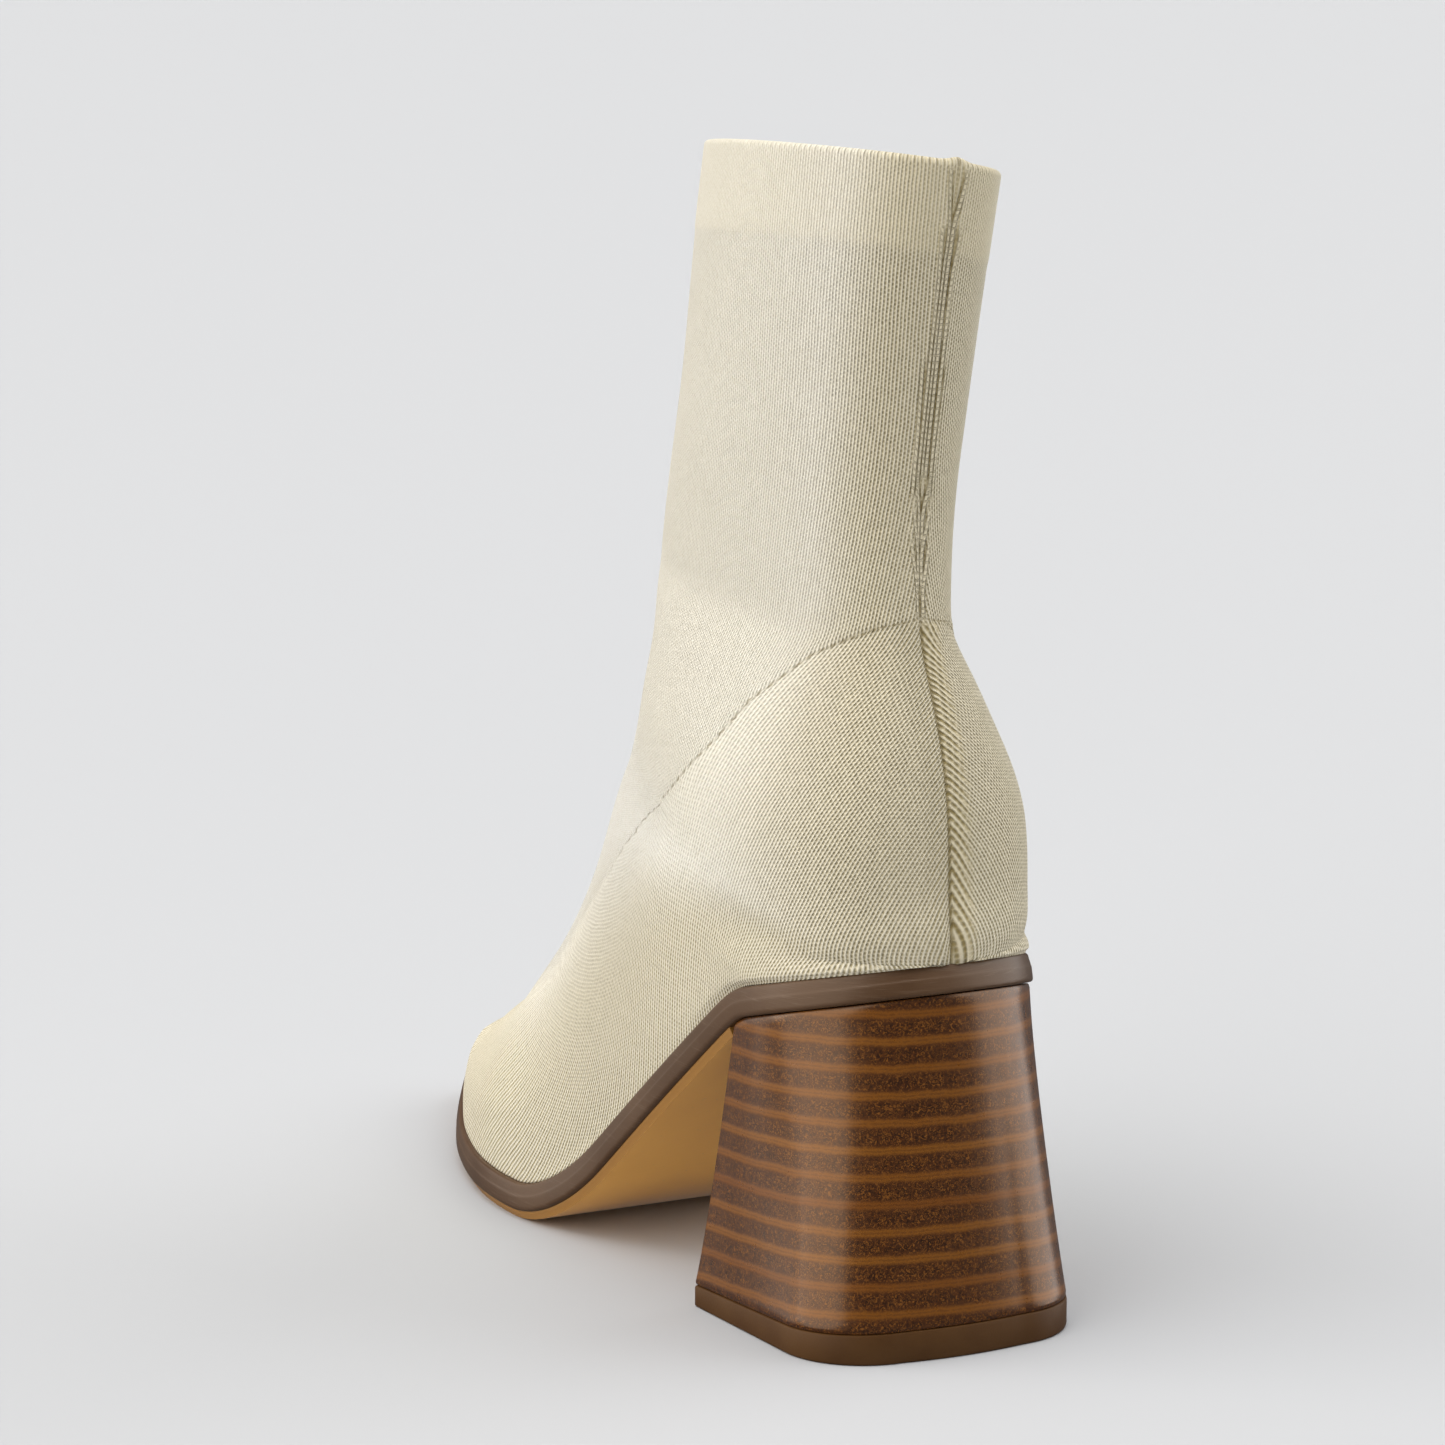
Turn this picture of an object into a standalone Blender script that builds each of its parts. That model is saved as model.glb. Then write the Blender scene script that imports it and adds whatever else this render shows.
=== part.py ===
"""Knitted sock boot on a stacked-look block heel, left foot, as a shoemaker puts it together.

The frame: +X toward the toe, +Y toward the outer (left) side, +Z up. The origin is the centre of the
heel's top piece on the floor. Sizes are in millimetres here and become metres when a mesh is made.
"""
import bpy
import bmesh
import numpy as np

MM = 0.001

# Driving sizes of the sole
SOLE_LENGTH = 226.0
HEEL_HEIGHT = 71.0
SEAT_WIDTH = 59.5
WAIST_WIDTH = 54.0
BALL_WIDTH = 80.0
TOE_SPRING = 9.0
SEAT_BACK = -22.8
FOREFOOT_SWING = 13.0
SEAT_ROUND = 28.5
TOE_ROUND = 60.0

# Driving sizes of the sole plates
MIDSOLE_THICK = 5.8
MIDSOLE_FLARE = 0.5
PARTING_STEP = 0.35
OUTSOLE_THICK = 1.5
OUTSOLE_INSET = 0.9
OUTSOLE_BREAST_GAP = 2.2
INSOLE_THICK = 1.6
GAP = 0.3
INSOLE_CLEARANCE = 1.0
INSOLE_BEVEL = 0.8

# Driving sizes of the heel
HEEL_BASE_DEPTH = 54.4
HEEL_BASE_WIDTH = 61.0
HEEL_CORNER = 17.0
HEEL_BACK_CROWN = 1.2
HEEL_TOP_INSET = 0.8
HEEL_BREAST_HOLLOW = 2.0
HEEL_SEAT_GAP = 0.4
BREAST_AT = 37.5
TOP_PIECE_BACK = 6.2
TOP_PIECE_FRONT = 4.4

# Driving sizes of the knitted upper
UPPER_INSET = 1.6
KNIT_WALL = 1.6
HEM_HEIGHT = 17.0
HEM_STEP = 0.5
SEAM_RIDGE = 0.7
SEAM_HALF_WIDTH = 2.6
COLLAR_HEIGHT = 226.5
COLLAR_DEPTH = 84.0
COLLAR_WIDTH = 46.2
COLLAR_CENTRE = 27.7
COLLAR_LEAN = -4.5
COLLAR_FALL_FORWARD = 0.055
COLLAR_RISE_OUTWARD = 0.18
ANKLE_HEIGHT = 149.0
ANKLE_DEPTH = 92.5
ANKLE_CENTRE = 37.9
ANKLE_WIDTH = 39.7
INSTEP_HEIGHT = 115.0
HEEL_CURVE = 12.0
COUNTER_WIDTH = 61.5

# Mesh fineness
SHAFT_ROWS = 21
SIDE_COLUMNS = 13


def spline(xs, ys, x):
    """Natural cubic spline through the points of a table, read at x."""
    xs = np.asarray(xs, float)
    ys = np.asarray(ys, float)
    n = len(xs)
    h = np.diff(xs)
    a = np.zeros((n, n))
    r = np.zeros(n)
    a[0, 0] = a[-1, -1] = 1.0
    for i in range(1, n - 1):
        a[i, i - 1] = h[i - 1]
        a[i, i] = 2.0 * (h[i - 1] + h[i])
        a[i, i + 1] = h[i]
        r[i] = 6.0 * ((ys[i + 1] - ys[i]) / h[i] - (ys[i] - ys[i - 1]) / h[i - 1])
    m = np.linalg.solve(a, r)
    x = np.clip(np.asarray(x, float), xs[0], xs[-1])
    i = np.clip(np.searchsorted(xs, x, side="right") - 1, 0, n - 2)
    d = x - xs[i]
    b = (ys[i + 1] - ys[i]) / h[i] - h[i] * (2.0 * m[i] + m[i + 1]) / 6.0
    return ys[i] + b * d + m[i] * d ** 2 / 2.0 + (m[i + 1] - m[i]) * d ** 3 / (6.0 * h[i])


def hermite(rows, x):
    """Curve through rows of (place, value, slope), read at x, with its slope."""
    rows = np.asarray(rows, float)
    x = np.clip(np.asarray(x, float), rows[0, 0], rows[-1, 0])
    i = np.clip(np.searchsorted(rows[:, 0], x, side="right") - 1, 0, len(rows) - 2)
    x0, y0, m0 = rows[i].T
    x1, y1, m1 = rows[i + 1].T
    w = x1 - x0
    t = (x - x0) / w
    value = (
        (2 * t ** 3 - 3 * t ** 2 + 1) * y0 + (t ** 3 - 2 * t ** 2 + t) * w * m0
        + (3 * t ** 2 - 2 * t ** 3) * y1 + (t ** 3 - t ** 2) * w * m1
    )
    slope = (
        (6 * t ** 2 - 6 * t) * (y0 - y1) / w + (3 * t ** 2 - 4 * t + 1) * m0 + (3 * t ** 2 - 2 * t) * m1
    )
    return value, slope


# The sole's underside from the side: share of the length, share of the heel height, slope
FLOOR_LIFT = OUTSOLE_THICK + GAP
PROFILE = [
    # along, up, slope
    (0.000, 1.000, -0.255),
    (0.138, 0.884, -0.270),
    (0.192, 0.789, -0.680),
    (0.415, 0.236, -0.830),
    (0.567, 0.000, 0.000),
    (0.665, 0.000, 0.000),
]
TOE_SLOPE = 0.22

# The sole's outline from above: share of the length, width it follows, outer half, inner half, swing
OUTLINE = [
    # along, width, outer, inner, swing
    (0.000, SEAT_WIDTH, 0.500, 0.500, 0.00),
    (0.127, SEAT_WIDTH, 0.500, 0.500, 0.00),
    (0.228, WAIST_WIDTH, 0.550, 0.485, 0.08),
    (0.339, WAIST_WIDTH, 0.570, 0.430, 0.17),
    (0.451, WAIST_WIDTH, 0.625, 0.520, 0.29),
    (0.562, BALL_WIDTH, 0.478, 0.468, 0.42),
    (0.638, BALL_WIDTH, 0.480, 0.515, 0.52),
    (0.719, BALL_WIDTH, 0.440, 0.512, 0.63),
    (0.808, BALL_WIDTH, 0.368, 0.475, 0.75),
    (0.897, BALL_WIDTH, 0.290, 0.415, 0.88),
    (1.000, BALL_WIDTH, 0.205, 0.340, 1.00),
]


def sole_profile(x):
    """Height and slope of the midsole's underside at x."""
    rows = [(SEAT_BACK + a * SOLE_LENGTH, FLOOR_LIFT + u * (HEEL_HEIGHT - FLOOR_LIFT), m) for a, u, m in PROFILE]
    rows.append((SEAT_BACK + SOLE_LENGTH, FLOOR_LIFT + TOE_SPRING, TOE_SLOPE))
    return hermite(rows, x)


def sole_point(x, y, lift):
    """Point above the midsole's underside by lift, square to the sole, as rows of x, y, z."""
    z, slope = sole_profile(x)
    size = np.sqrt(1.0 + slope ** 2)
    return np.stack([x - lift * slope / size, y + 0.0 * x, z + lift / size], axis=-1)


def half_widths(x):
    """The sole's centre line, outer and inner half width at x, rounded off at both ends."""
    along = [SEAT_BACK + r[0] * SOLE_LENGTH for r in OUTLINE]
    line = -FOREFOOT_SWING * spline(along, [r[4] for r in OUTLINE], x)
    outer = spline(along, [r[1] * r[2] for r in OUTLINE], x)
    inner = spline(along, [r[1] * r[3] for r in OUTLINE], x)
    back = np.clip(1.0 - (x - SEAT_BACK) / SEAT_ROUND, 0.0, 1.0)
    front = np.clip(1.0 - (SEAT_BACK + SOLE_LENGTH - x) / TOE_ROUND, 0.0, 1.0)
    ends = np.sqrt(1.0 - back ** 2) * (1.0 - front ** 2.2) ** (1.0 / 2.1)
    return line, outer * ends, inner * ends


def outline_sides(stations, inset):
    """Left and right edge of the sole as two rows of x, y from back to toe, moved in by inset."""
    t = np.linspace(0.0, 1.0, 400)
    x = SEAT_BACK + SOLE_LENGTH * (1.0 - np.cos(np.pi * t)) / 2.0
    line, outer, inner = half_widths(x)
    sides = []
    for sign, half in ((1.0, outer), (-1.0, inner)):
        p = np.stack([x, line + sign * half], axis=-1)
        d = np.gradient(p, axis=0)
        d /= np.linalg.norm(d, axis=1)[:, None]
        d[0] = (0.0, sign)
        d[-1] = (0.0, -sign)
        p = p - inset * sign * np.stack([-d[:, 1], d[:, 0]], axis=-1)
        step = np.linalg.norm(np.diff(p, axis=0), axis=1)
        arc = np.concatenate([[0.0], np.cumsum(step)])
        arc /= arc[-1]
        sides.append(np.stack([np.interp(stations, arc, p[:, c]) for c in (0, 1)], axis=-1))
    return sides


def metres(points):
    return [tuple(float(c) * MM for c in p) for p in points]


def make_object(name, points, faces, colour, roughness, sharp=35.0):
    """One closed mesh object with its own material, faces turned outward."""
    mesh = bpy.data.meshes.new(name)
    mesh.from_pydata(metres(points), [], faces)
    bm = bmesh.new()
    bm.from_mesh(mesh)
    bmesh.ops.remove_doubles(bm, verts=bm.verts, dist=1e-7)
    bmesh.ops.recalc_face_normals(bm, faces=bm.faces)
    bmesh.ops.triangulate(bm, faces=bm.faces)
    bm.to_mesh(mesh)
    bm.free()
    mesh.shade_smooth()
    mesh.set_sharp_from_angle(angle=np.radians(sharp))
    obj = bpy.data.objects.new(name, mesh)
    bpy.context.collection.objects.link(obj)
    material = bpy.data.materials.new(name + "_finish")
    material.use_nodes = True
    shader = material.node_tree.nodes["Principled BSDF"]
    shader.inputs["Base Color"].default_value = (*colour, 1.0)
    shader.inputs["Roughness"].default_value = roughness
    shader.inputs["Metallic"].default_value = 0.0
    mesh.materials.append(material)
    return obj


def ladder(name, levels, colour, roughness, sharp=35.0):
    """A solid from levels of (left row, right row) whose rungs close its top and bottom.

    Rows run from back to toe. Levels run from the bottom up. A row end where left and right
    meet is one point after doubles are merged.
    """
    points = []
    faces = []
    count = len(levels[0][0])
    for left, right in levels:
        points.extend(left)
        points.extend(right)

    def at(level, side, i):
        return level * 2 * count + side * count + i

    top = len(levels) - 1
    for i in range(count - 1):
        for level in range(top):
            for side in (0, 1):
                faces.append([at(level, side, i), at(level, side, i + 1), at(level + 1, side, i + 1),
                              at(level + 1, side, i)])
        for level in (0, top):
            faces.append([at(level, 0, i), at(level, 0, i + 1), at(level, 1, i + 1), at(level, 1, i)])
    for i in (0, count - 1):
        for level in range(top):
            faces.append([at(level, 0, i), at(level, 1, i), at(level + 1, 1, i), at(level + 1, 0, i)])
    clean = []
    for face in faces:
        keep = []
        for v in face:
            if all(np.linalg.norm(np.subtract(points[v], points[w])) > 1e-4 for w in keep):
                keep.append(v)
        if len(keep) > 2:
            clean.append(keep)
    return make_object(name, points, clean, colour, roughness, sharp)


# Shares of the way round the sole's edge, back to toe, where plates, heel and upper share stations
EDGE_STATIONS = np.concatenate([
    np.linspace(0.0, 0.15, 7)[:-1],
    np.linspace(0.15, 0.27, 8)[:-1],
    np.linspace(0.27, 0.82, 12)[:-1],
    np.linspace(0.82, 1.0, 8),
])


def plate(name, levels, colour, roughness, start=0.0):
    """A sole plate from side levels of (inset, lift), from a share of the way round to the toe."""
    stations = np.concatenate([[start], EDGE_STATIONS[EDGE_STATIONS > start + 0.004]])
    rows = []
    for inset, lift in levels:
        left, right = outline_sides(stations, inset)
        rows.append((sole_point(left[:, 0], left[:, 1], lift), sole_point(right[:, 0], right[:, 1], lift)))
    return ladder(name, rows, colour, roughness)


def share_at(x, inset):
    """Share of the way round the sole's edge, from back to toe, at x."""
    stations = np.linspace(0.0, 1.0, 400)
    left, right = outline_sides(stations, inset)
    middle = (left[:, 0] + right[:, 0]) / 2.0
    return float(np.interp(x, middle, stations))


def make_midsole():
    """The moulded plate whose side is the rand: a rounded top edge, a parting step and a slight flare."""
    parting = 0.55 * MIDSOLE_THICK
    edge = 0.5
    levels = [
        (edge, 0.0),
        (0.0, edge),
        (0.0, parting),
        (PARTING_STEP, parting + 0.3),
        (MIDSOLE_FLARE, MIDSOLE_THICK - edge),
        (MIDSOLE_FLARE + edge, MIDSOLE_THICK),
    ]
    return plate("midsole", levels, (0.155, 0.098, 0.063), 0.38)


def make_outsole():
    """The thin tread plate from the heel's breast to the toe, flat on the floor under the ball."""
    start = share_at(SEAT_BACK + BREAST_AT + OUTSOLE_BREAST_GAP, OUTSOLE_INSET)
    levels = [(OUTSOLE_INSET, -GAP - OUTSOLE_THICK), (OUTSOLE_INSET, -GAP)]
    return plate("outsole", levels, (0.43, 0.21, 0.055), 0.42, start=start)


def make_insole():
    """The sock lining that lies on the midsole inside the upper."""
    inset = UPPER_INSET + KNIT_WALL + INSOLE_CLEARANCE
    foot = MIDSOLE_THICK + GAP
    levels = [(inset, foot), (inset, foot + INSOLE_THICK / 2.0), (inset + INSOLE_BEVEL, foot + INSOLE_THICK)]
    return plate("insole", levels, (0.72, 0.68, 0.58), 0.85)


def heel_half(shares):
    """Half outline of the heel's foot at shares of the way from the middle of the back to the breast."""
    half = HEEL_BASE_WIDTH / 2.0
    back = -HEEL_BASE_DEPTH / 2.0
    flat = np.linspace(0.0, half - HEEL_CORNER, 4)[:-1]
    crown = back - HEEL_BACK_CROWN * (1.0 - (flat / (half - HEEL_CORNER)) ** 2)
    turn = np.linspace(0.0, np.pi / 2.0, 9)
    corner_x = back + HEEL_CORNER * (1.0 - np.cos(turn))
    corner_y = half - HEEL_CORNER * (1.0 - np.sin(turn))
    x = np.concatenate([crown, corner_x, [HEEL_BASE_DEPTH / 2.0]])
    y = np.concatenate([flat, corner_y, [half]])
    arc = np.concatenate([[0.0], np.cumsum(np.hypot(np.diff(x), np.diff(y)))])
    at = arc[-1] * np.asarray(shares)
    return np.stack([np.interp(at, arc, x), np.interp(at, arc, y)], axis=-1)


def heel_foot_lift(x):
    """Height of the joint between heel block and top piece, a little lower toward the breast."""
    t = (x + HEEL_BASE_DEPTH / 2.0) / HEEL_BASE_DEPTH
    return TOP_PIECE_BACK + (TOP_PIECE_FRONT - TOP_PIECE_BACK) * t


def heel_rows(share, lift_of):
    """Left and right row of the heel between its foot (share 0) and the seat (share 1)."""
    breast = share_at(SEAT_BACK + BREAST_AT, HEEL_TOP_INSET)
    stations = np.append(EDGE_STATIONS[EDGE_STATIONS < breast - 0.004], breast)
    seat = outline_sides(stations, HEEL_TOP_INSET)
    foot = heel_half(stations / breast)
    rows = []
    for sign, top in zip((1.0, -1.0), seat):
        x = foot[:, 0] + (top[:, 0] - foot[:, 0]) * share
        y = sign * foot[:, 1] + (top[:, 1] - sign * foot[:, 1]) * share
        rows.append(np.stack([x, y, lift_of(x, y, share)], axis=-1))
    return rows


def with_breast(rows, hollow):
    """Adds the breast's points, hollowed toward the back, to the ends of both rows."""
    left, right = rows
    reach = np.array([0.66, 0.33, 0.0])
    out = []
    for row, other in ((left, right), (right, left)):
        middle = (row[-1] + other[-1]) / 2.0
        extra = []
        for r in reach:
            p = middle + (row[-1] - middle) * r
            p = p + np.array([-hollow * (1.0 - r ** 2), 0.0, 0.0])
            extra.append(p)
        out.append(np.vstack([row, extra]))
    return out


def make_heel_block():
    """Moulded block heel: squarish at its foot, round at the seat, with a hollow breast."""
    shares = [0.0, 0.08, 0.3, 0.55, 0.8, 1.0]
    levels = []
    for share in shares:
        bend = share ** 0.93

        def lift_of(x, y, s, share=share):
            z, slope = sole_profile(x)
            top = z - HEEL_SEAT_GAP * np.sqrt(1.0 + slope ** 2)
            foot = heel_foot_lift(x) + GAP
            return foot + (top - foot) * share

        levels.append(with_breast(heel_rows(bend, lift_of), HEEL_BREAST_HOLLOW))
    return ladder("heel_block", levels, (0.115, 0.045, 0.022), 0.3)


def make_top_piece():
    """The rubber top piece: flat on the floor, its upper face on the heel block."""
    def floor(x, y, s):
        return 0.0 * x

    def joint(x, y, s):
        return heel_foot_lift(x)

    levels = []
    for lift_of in (floor, joint):
        levels.append(with_breast(heel_rows(0.0, lift_of), HEEL_BREAST_HOLLOW))
    return ladder("heel_top_piece", levels, (0.105, 0.058, 0.034), 0.5)


# The shaft's sections from the collar down to the ankle, each a share of the way between them
SHAFT = [
    # name, front up, back up, centre, depth, width, lean
    ("collar", 1.000, 1.000, 1.00, 1.00, 1.00, 1.00),
    ("shaft_high", 0.723, 0.723, 0.68, 1.02, 0.94, 0.73),
    ("shaft_mid", 0.439, 0.426, 0.43, 1.00, 0.75, 0.43),
    ("shaft_low", 0.206, 0.155, 0.17, 0.66, 0.37, 0.15),
    ("ankle", 0.000, -0.077, 0.00, 0.00, 0.00, 0.02),
]

# The heel's sections from ankle to seat: top line as shares of the length and the instep height,
# seam as shares of the heel curve and of the way up from seat to ankle, half widths of the counter
HEEL = [
    # name, top along, top up, seam in, seam up, outer, inner, widest, square, square low
    ("achilles", 0.4794, 1.244, 0.80, 0.870, 0.325, 0.321, 0.51, 1.99, 2.05),
    ("counter_high", 0.4800, 1.196, 0.48, 0.740, 0.372, 0.368, 0.52, 1.89, 2.15),
    ("counter_mid", 0.4815, 1.148, 0.18, 0.590, 0.417, 0.418, 0.54, 1.80, 2.30),
    ("counter_low", 0.4858, 1.100, 0.00, 0.417, 0.462, 0.480, 0.56, 1.75, 2.45),
    ("counter_full", 0.4948, 1.050, -0.04, 0.223, 0.491, 0.514, 0.58, 1.74, 2.55),
    ("seam_foot", 0.5080, 0.991, 0.00, 0.000, 0.497, 0.508, 0.60, 1.74, 2.55),
]

# The foot's sections from the seat to the toe: top line, share of the way round the sole's edge,
# the width that each follows, outer and inner half width, place of the widest point, squareness
FOOT = [
    # name, top along, top up, swing, round, width, outer, inner, widest, square, square low
    ("seat_back", 0.5177, 0.951, 0.02, 0.070, COUNTER_WIDTH, 0.498, 0.491, 0.61, 1.72, 2.40),
    ("seat_side", 0.5290, 0.901, 0.06, 0.160, COUNTER_WIDTH, 0.495, 0.485, 0.63, 1.68, 2.10),
    ("waist_back", 0.5440, 0.843, 0.11, 0.270, COUNTER_WIDTH, 0.487, 0.466, 0.67, 1.67, 2.00),
    ("waist_front", 0.5626, 0.764, 0.18, 0.385, COUNTER_WIDTH, 0.480, 0.458, 0.71, 1.62, 2.00),
    ("joint_back", 0.5888, 0.662, 0.27, 0.500, BALL_WIDTH, 0.389, 0.459, 0.75, 1.60, 2.00),
    ("joint", 0.6248, 0.556, 0.38, 0.600, BALL_WIDTH, 0.397, 0.579, 0.77, 1.58, 2.00),
    ("toe_back", 0.6783, 0.450, 0.54, 0.690, BALL_WIDTH, 0.338, 0.618, 0.78, 1.60, 2.00),
    ("toe_mid", 0.7415, 0.370, 0.69, 0.775, BALL_WIDTH, 0.244, 0.588, 0.78, 1.67, 2.00),
    ("toe_front", 0.8092, 0.312, 0.81, 0.850, BALL_WIDTH, 0.132, 0.505, 0.78, 1.80, 2.00),
    ("toe_cap", 0.8735, 0.262, 0.90, 0.910, BALL_WIDTH, 0.033, 0.407, 0.76, 1.93, 2.00),
    ("toe_end", 0.9300, 0.223, 0.96, 0.960, BALL_WIDTH, -0.059, 0.295, 0.72, 2.12, 2.00),
    ("toe_face", 0.9735, 0.184, 0.98, 0.985, BALL_WIDTH, -0.104, 0.220, 0.70, 2.15, 2.00),
]
SEAM_ROW = len(SHAFT) + len(HEEL) - 1
TOE_ROW = SEAM_ROW + len(FOOT) + 1
SEAM_END_ROW = 4.2


def upper_table():
    """Every section in millimetres: top x, z, seam x, z, outer y, inner y, centre y and shape values."""
    foot = feather(0.0, UPPER_INSET)[0]
    tip = feather(1.0, UPPER_INSET)[0]
    rise = COLLAR_HEIGHT - ANKLE_HEIGHT
    ankle_back = ANKLE_HEIGHT + SHAFT[-1][2] * rise
    top, seam, shape = [], [], []
    for _, front, back, centre, depth, width, lean in SHAFT:
        middle = ANKLE_CENTRE + (COLLAR_CENTRE - ANKLE_CENTRE) * centre
        deep = ANKLE_DEPTH + (COLLAR_DEPTH - ANKLE_DEPTH) * depth
        wide = (ANKLE_WIDTH + (COLLAR_WIDTH - ANKLE_WIDTH) * width) / 2.0
        y = COLLAR_LEAN * lean
        top.append((middle + deep / 2.0, ANKLE_HEIGHT + rise * front))
        seam.append((middle - deep / 2.0, ANKLE_HEIGHT + rise * back))
        shape.append((y + wide, y - wide, y, 0.5, 2.0, 2.0))
    for _, along, up, into, seam_up, outer, inner, widest, square, low in HEEL:
        top.append((SEAT_BACK + along * SOLE_LENGTH, up * INSTEP_HEIGHT))
        seam.append((foot[0] + into * HEEL_CURVE, foot[2] + seam_up * (ankle_back - foot[2])))
        shape.append((outer * COUNTER_WIDTH, -inner * COUNTER_WIDTH, 0.0, widest, square, low))
    for _, along, up, swing, _, width, outer, inner, widest, square, low in FOOT:
        top.append((SEAT_BACK + along * SOLE_LENGTH, up * INSTEP_HEIGHT))
        shape.append((outer * width, -inner * width, -swing * FOREFOOT_SWING, widest, square, low))
    top.append((tip[0], tip[2]))
    shape.append((tip[1], tip[1], tip[1], 0.7, 2.2, 2.0))
    return np.array(top), np.array(seam), np.array(shape)


def feather(share, inset):
    """Points of the upper's lower edge on the midsole, left and right, at a share of the way round."""
    left, right = outline_sides(np.atleast_1d(share), inset)
    lift = MIDSOLE_THICK + GAP
    return [sole_point(side[:, 0], side[:, 1], lift)[0] for side in (left, right)]


def edge_share(k):
    """Share of the way round the sole's edge where the section of row k ends."""
    shares = [0.0] + [r[4] for r in FOOT] + [1.0]
    return float(spline(np.arange(len(shares)) + SEAM_ROW, shares, k))


def section_curve(k, side, table, samples=60):
    """One half section (side 0 outer, 1 inner) from the top line to its end, as points."""
    top, seam, shape = table
    rows = np.arange(len(top))
    t = np.array([spline(rows, top[:, 0], k), spline(rows, top[:, 1], k)])
    values = [float(spline(rows, shape[:, c], k)) for c in range(shape.shape[1])]
    wide, centre, widest, square, low = values[side], values[2], values[3], values[4], values[5]
    if k <= SEAM_ROW:
        seam_rows = rows[: len(seam)]
        end = np.array([spline(seam_rows, seam[:, 0], k), centre, spline(seam_rows, seam[:, 1], k)])
    else:
        end = feather(edge_share(k), UPPER_INSET)[side]
    sign = 1.0 if side == 0 else -1.0
    wide = sign * max(sign * wide, sign * end[1] + 0.2 * (TOE_ROW - k) / TOE_ROW, sign * centre)
    turn = np.linspace(0.0, np.pi / 2.0, samples)
    upper_c = widest * (1.0 - np.cos(turn) ** (2.0 / square))
    upper_y = centre + (wide - centre) * np.sin(turn) ** (2.0 / square)
    share = np.clip((end[1] - centre) / (wide - centre) if abs(wide - centre) > 1e-6 else 0.0, 0.0, 0.999)
    stop = np.arccos(share ** (low / 2.0))
    turn = turn[1:] * stop / turn[-1]
    lower_c = widest + (1.0 - widest) * (np.sin(turn) / np.sin(stop)) ** (2.0 / low)
    lower_y = centre + (wide - centre) * np.cos(turn) ** (2.0 / low)
    lower_y += (end[1] - lower_y[-1]) * (turn / stop) ** 2
    c = np.concatenate([upper_c, lower_c])
    y = np.concatenate([upper_y, lower_y])
    x = t[0] + (end[0] - t[0]) * c
    z = t[1] + (end[2] - t[1]) * c
    tilt = np.clip(1.0 - k / 3.0, 0.0, 1.0) ** 2
    middle = COLLAR_CENTRE
    z = z + tilt * (COLLAR_RISE_OUTWARD * (y - centre) - COLLAR_FALL_FORWARD * (x - middle))
    return np.stack([x, y, z], axis=-1)


def columns(length, count):
    """Places along a half section: even from the top line, then fine beside the back seam."""
    fine = np.array([0.0, 1.0, 1.8, 3.2]) * SEAM_HALF_WIDTH
    fine = fine * min(1.0, 0.4 * length / fine[-1])
    even = np.linspace(0.0, length - fine[-1], count - len(fine) + 2)[:-1]
    return np.concatenate([even, length - fine[::-1]])


def hem_row():
    """Row value at the hem's lower edge."""
    return HEM_HEIGHT / ((1.0 - SHAFT[1][1]) * (COLLAR_HEIGHT - ANKLE_HEIGHT))


def ridge(k, distance):
    """How far the hem's and the seam's raised steps stand out at a row and a distance from the seam."""
    hem = HEM_STEP if k < hem_row() else 0.0
    fade = float(np.clip((SEAM_END_ROW - k) / 0.5, 0.0, 1.0))
    seam = SEAM_RIDGE * fade * np.exp(-((distance - SEAM_HALF_WIDTH) / (0.5 * SEAM_HALF_WIDTH)) ** 2)
    return hem + seam


def upper_rows():
    """The row values of the mesh, dense at the hem, the ankle and the toe."""
    hem = [0.0, hem_row() - 0.01, hem_row() + 0.03]
    shaft = list(np.linspace(1.35, SEAM_ROW, SHAFT_ROWS))
    dense = np.linspace(SEAM_ROW, TOE_ROW, 200)
    foot = list(np.interp(EDGE_STATIONS[1:-1], [edge_share(k) for k in dense], dense))
    return hem + shaft + foot + [TOE_ROW]


def grid_normals(grid):
    """Outward normals of a grid of rows and columns, each the mean of the faces round its point."""
    face = np.cross(grid[:-1, 1:] - grid[1:, :-1], grid[1:, 1:] - grid[:-1, :-1])
    n = np.zeros_like(grid)
    for i in (0, 1):
        for j in (0, 1):
            n[i:i + len(face), j:j + face.shape[1]] += face
    size = np.linalg.norm(n, axis=2)
    size[size < 1e-9] = 1.0
    return n / size[:, :, None]


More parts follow.
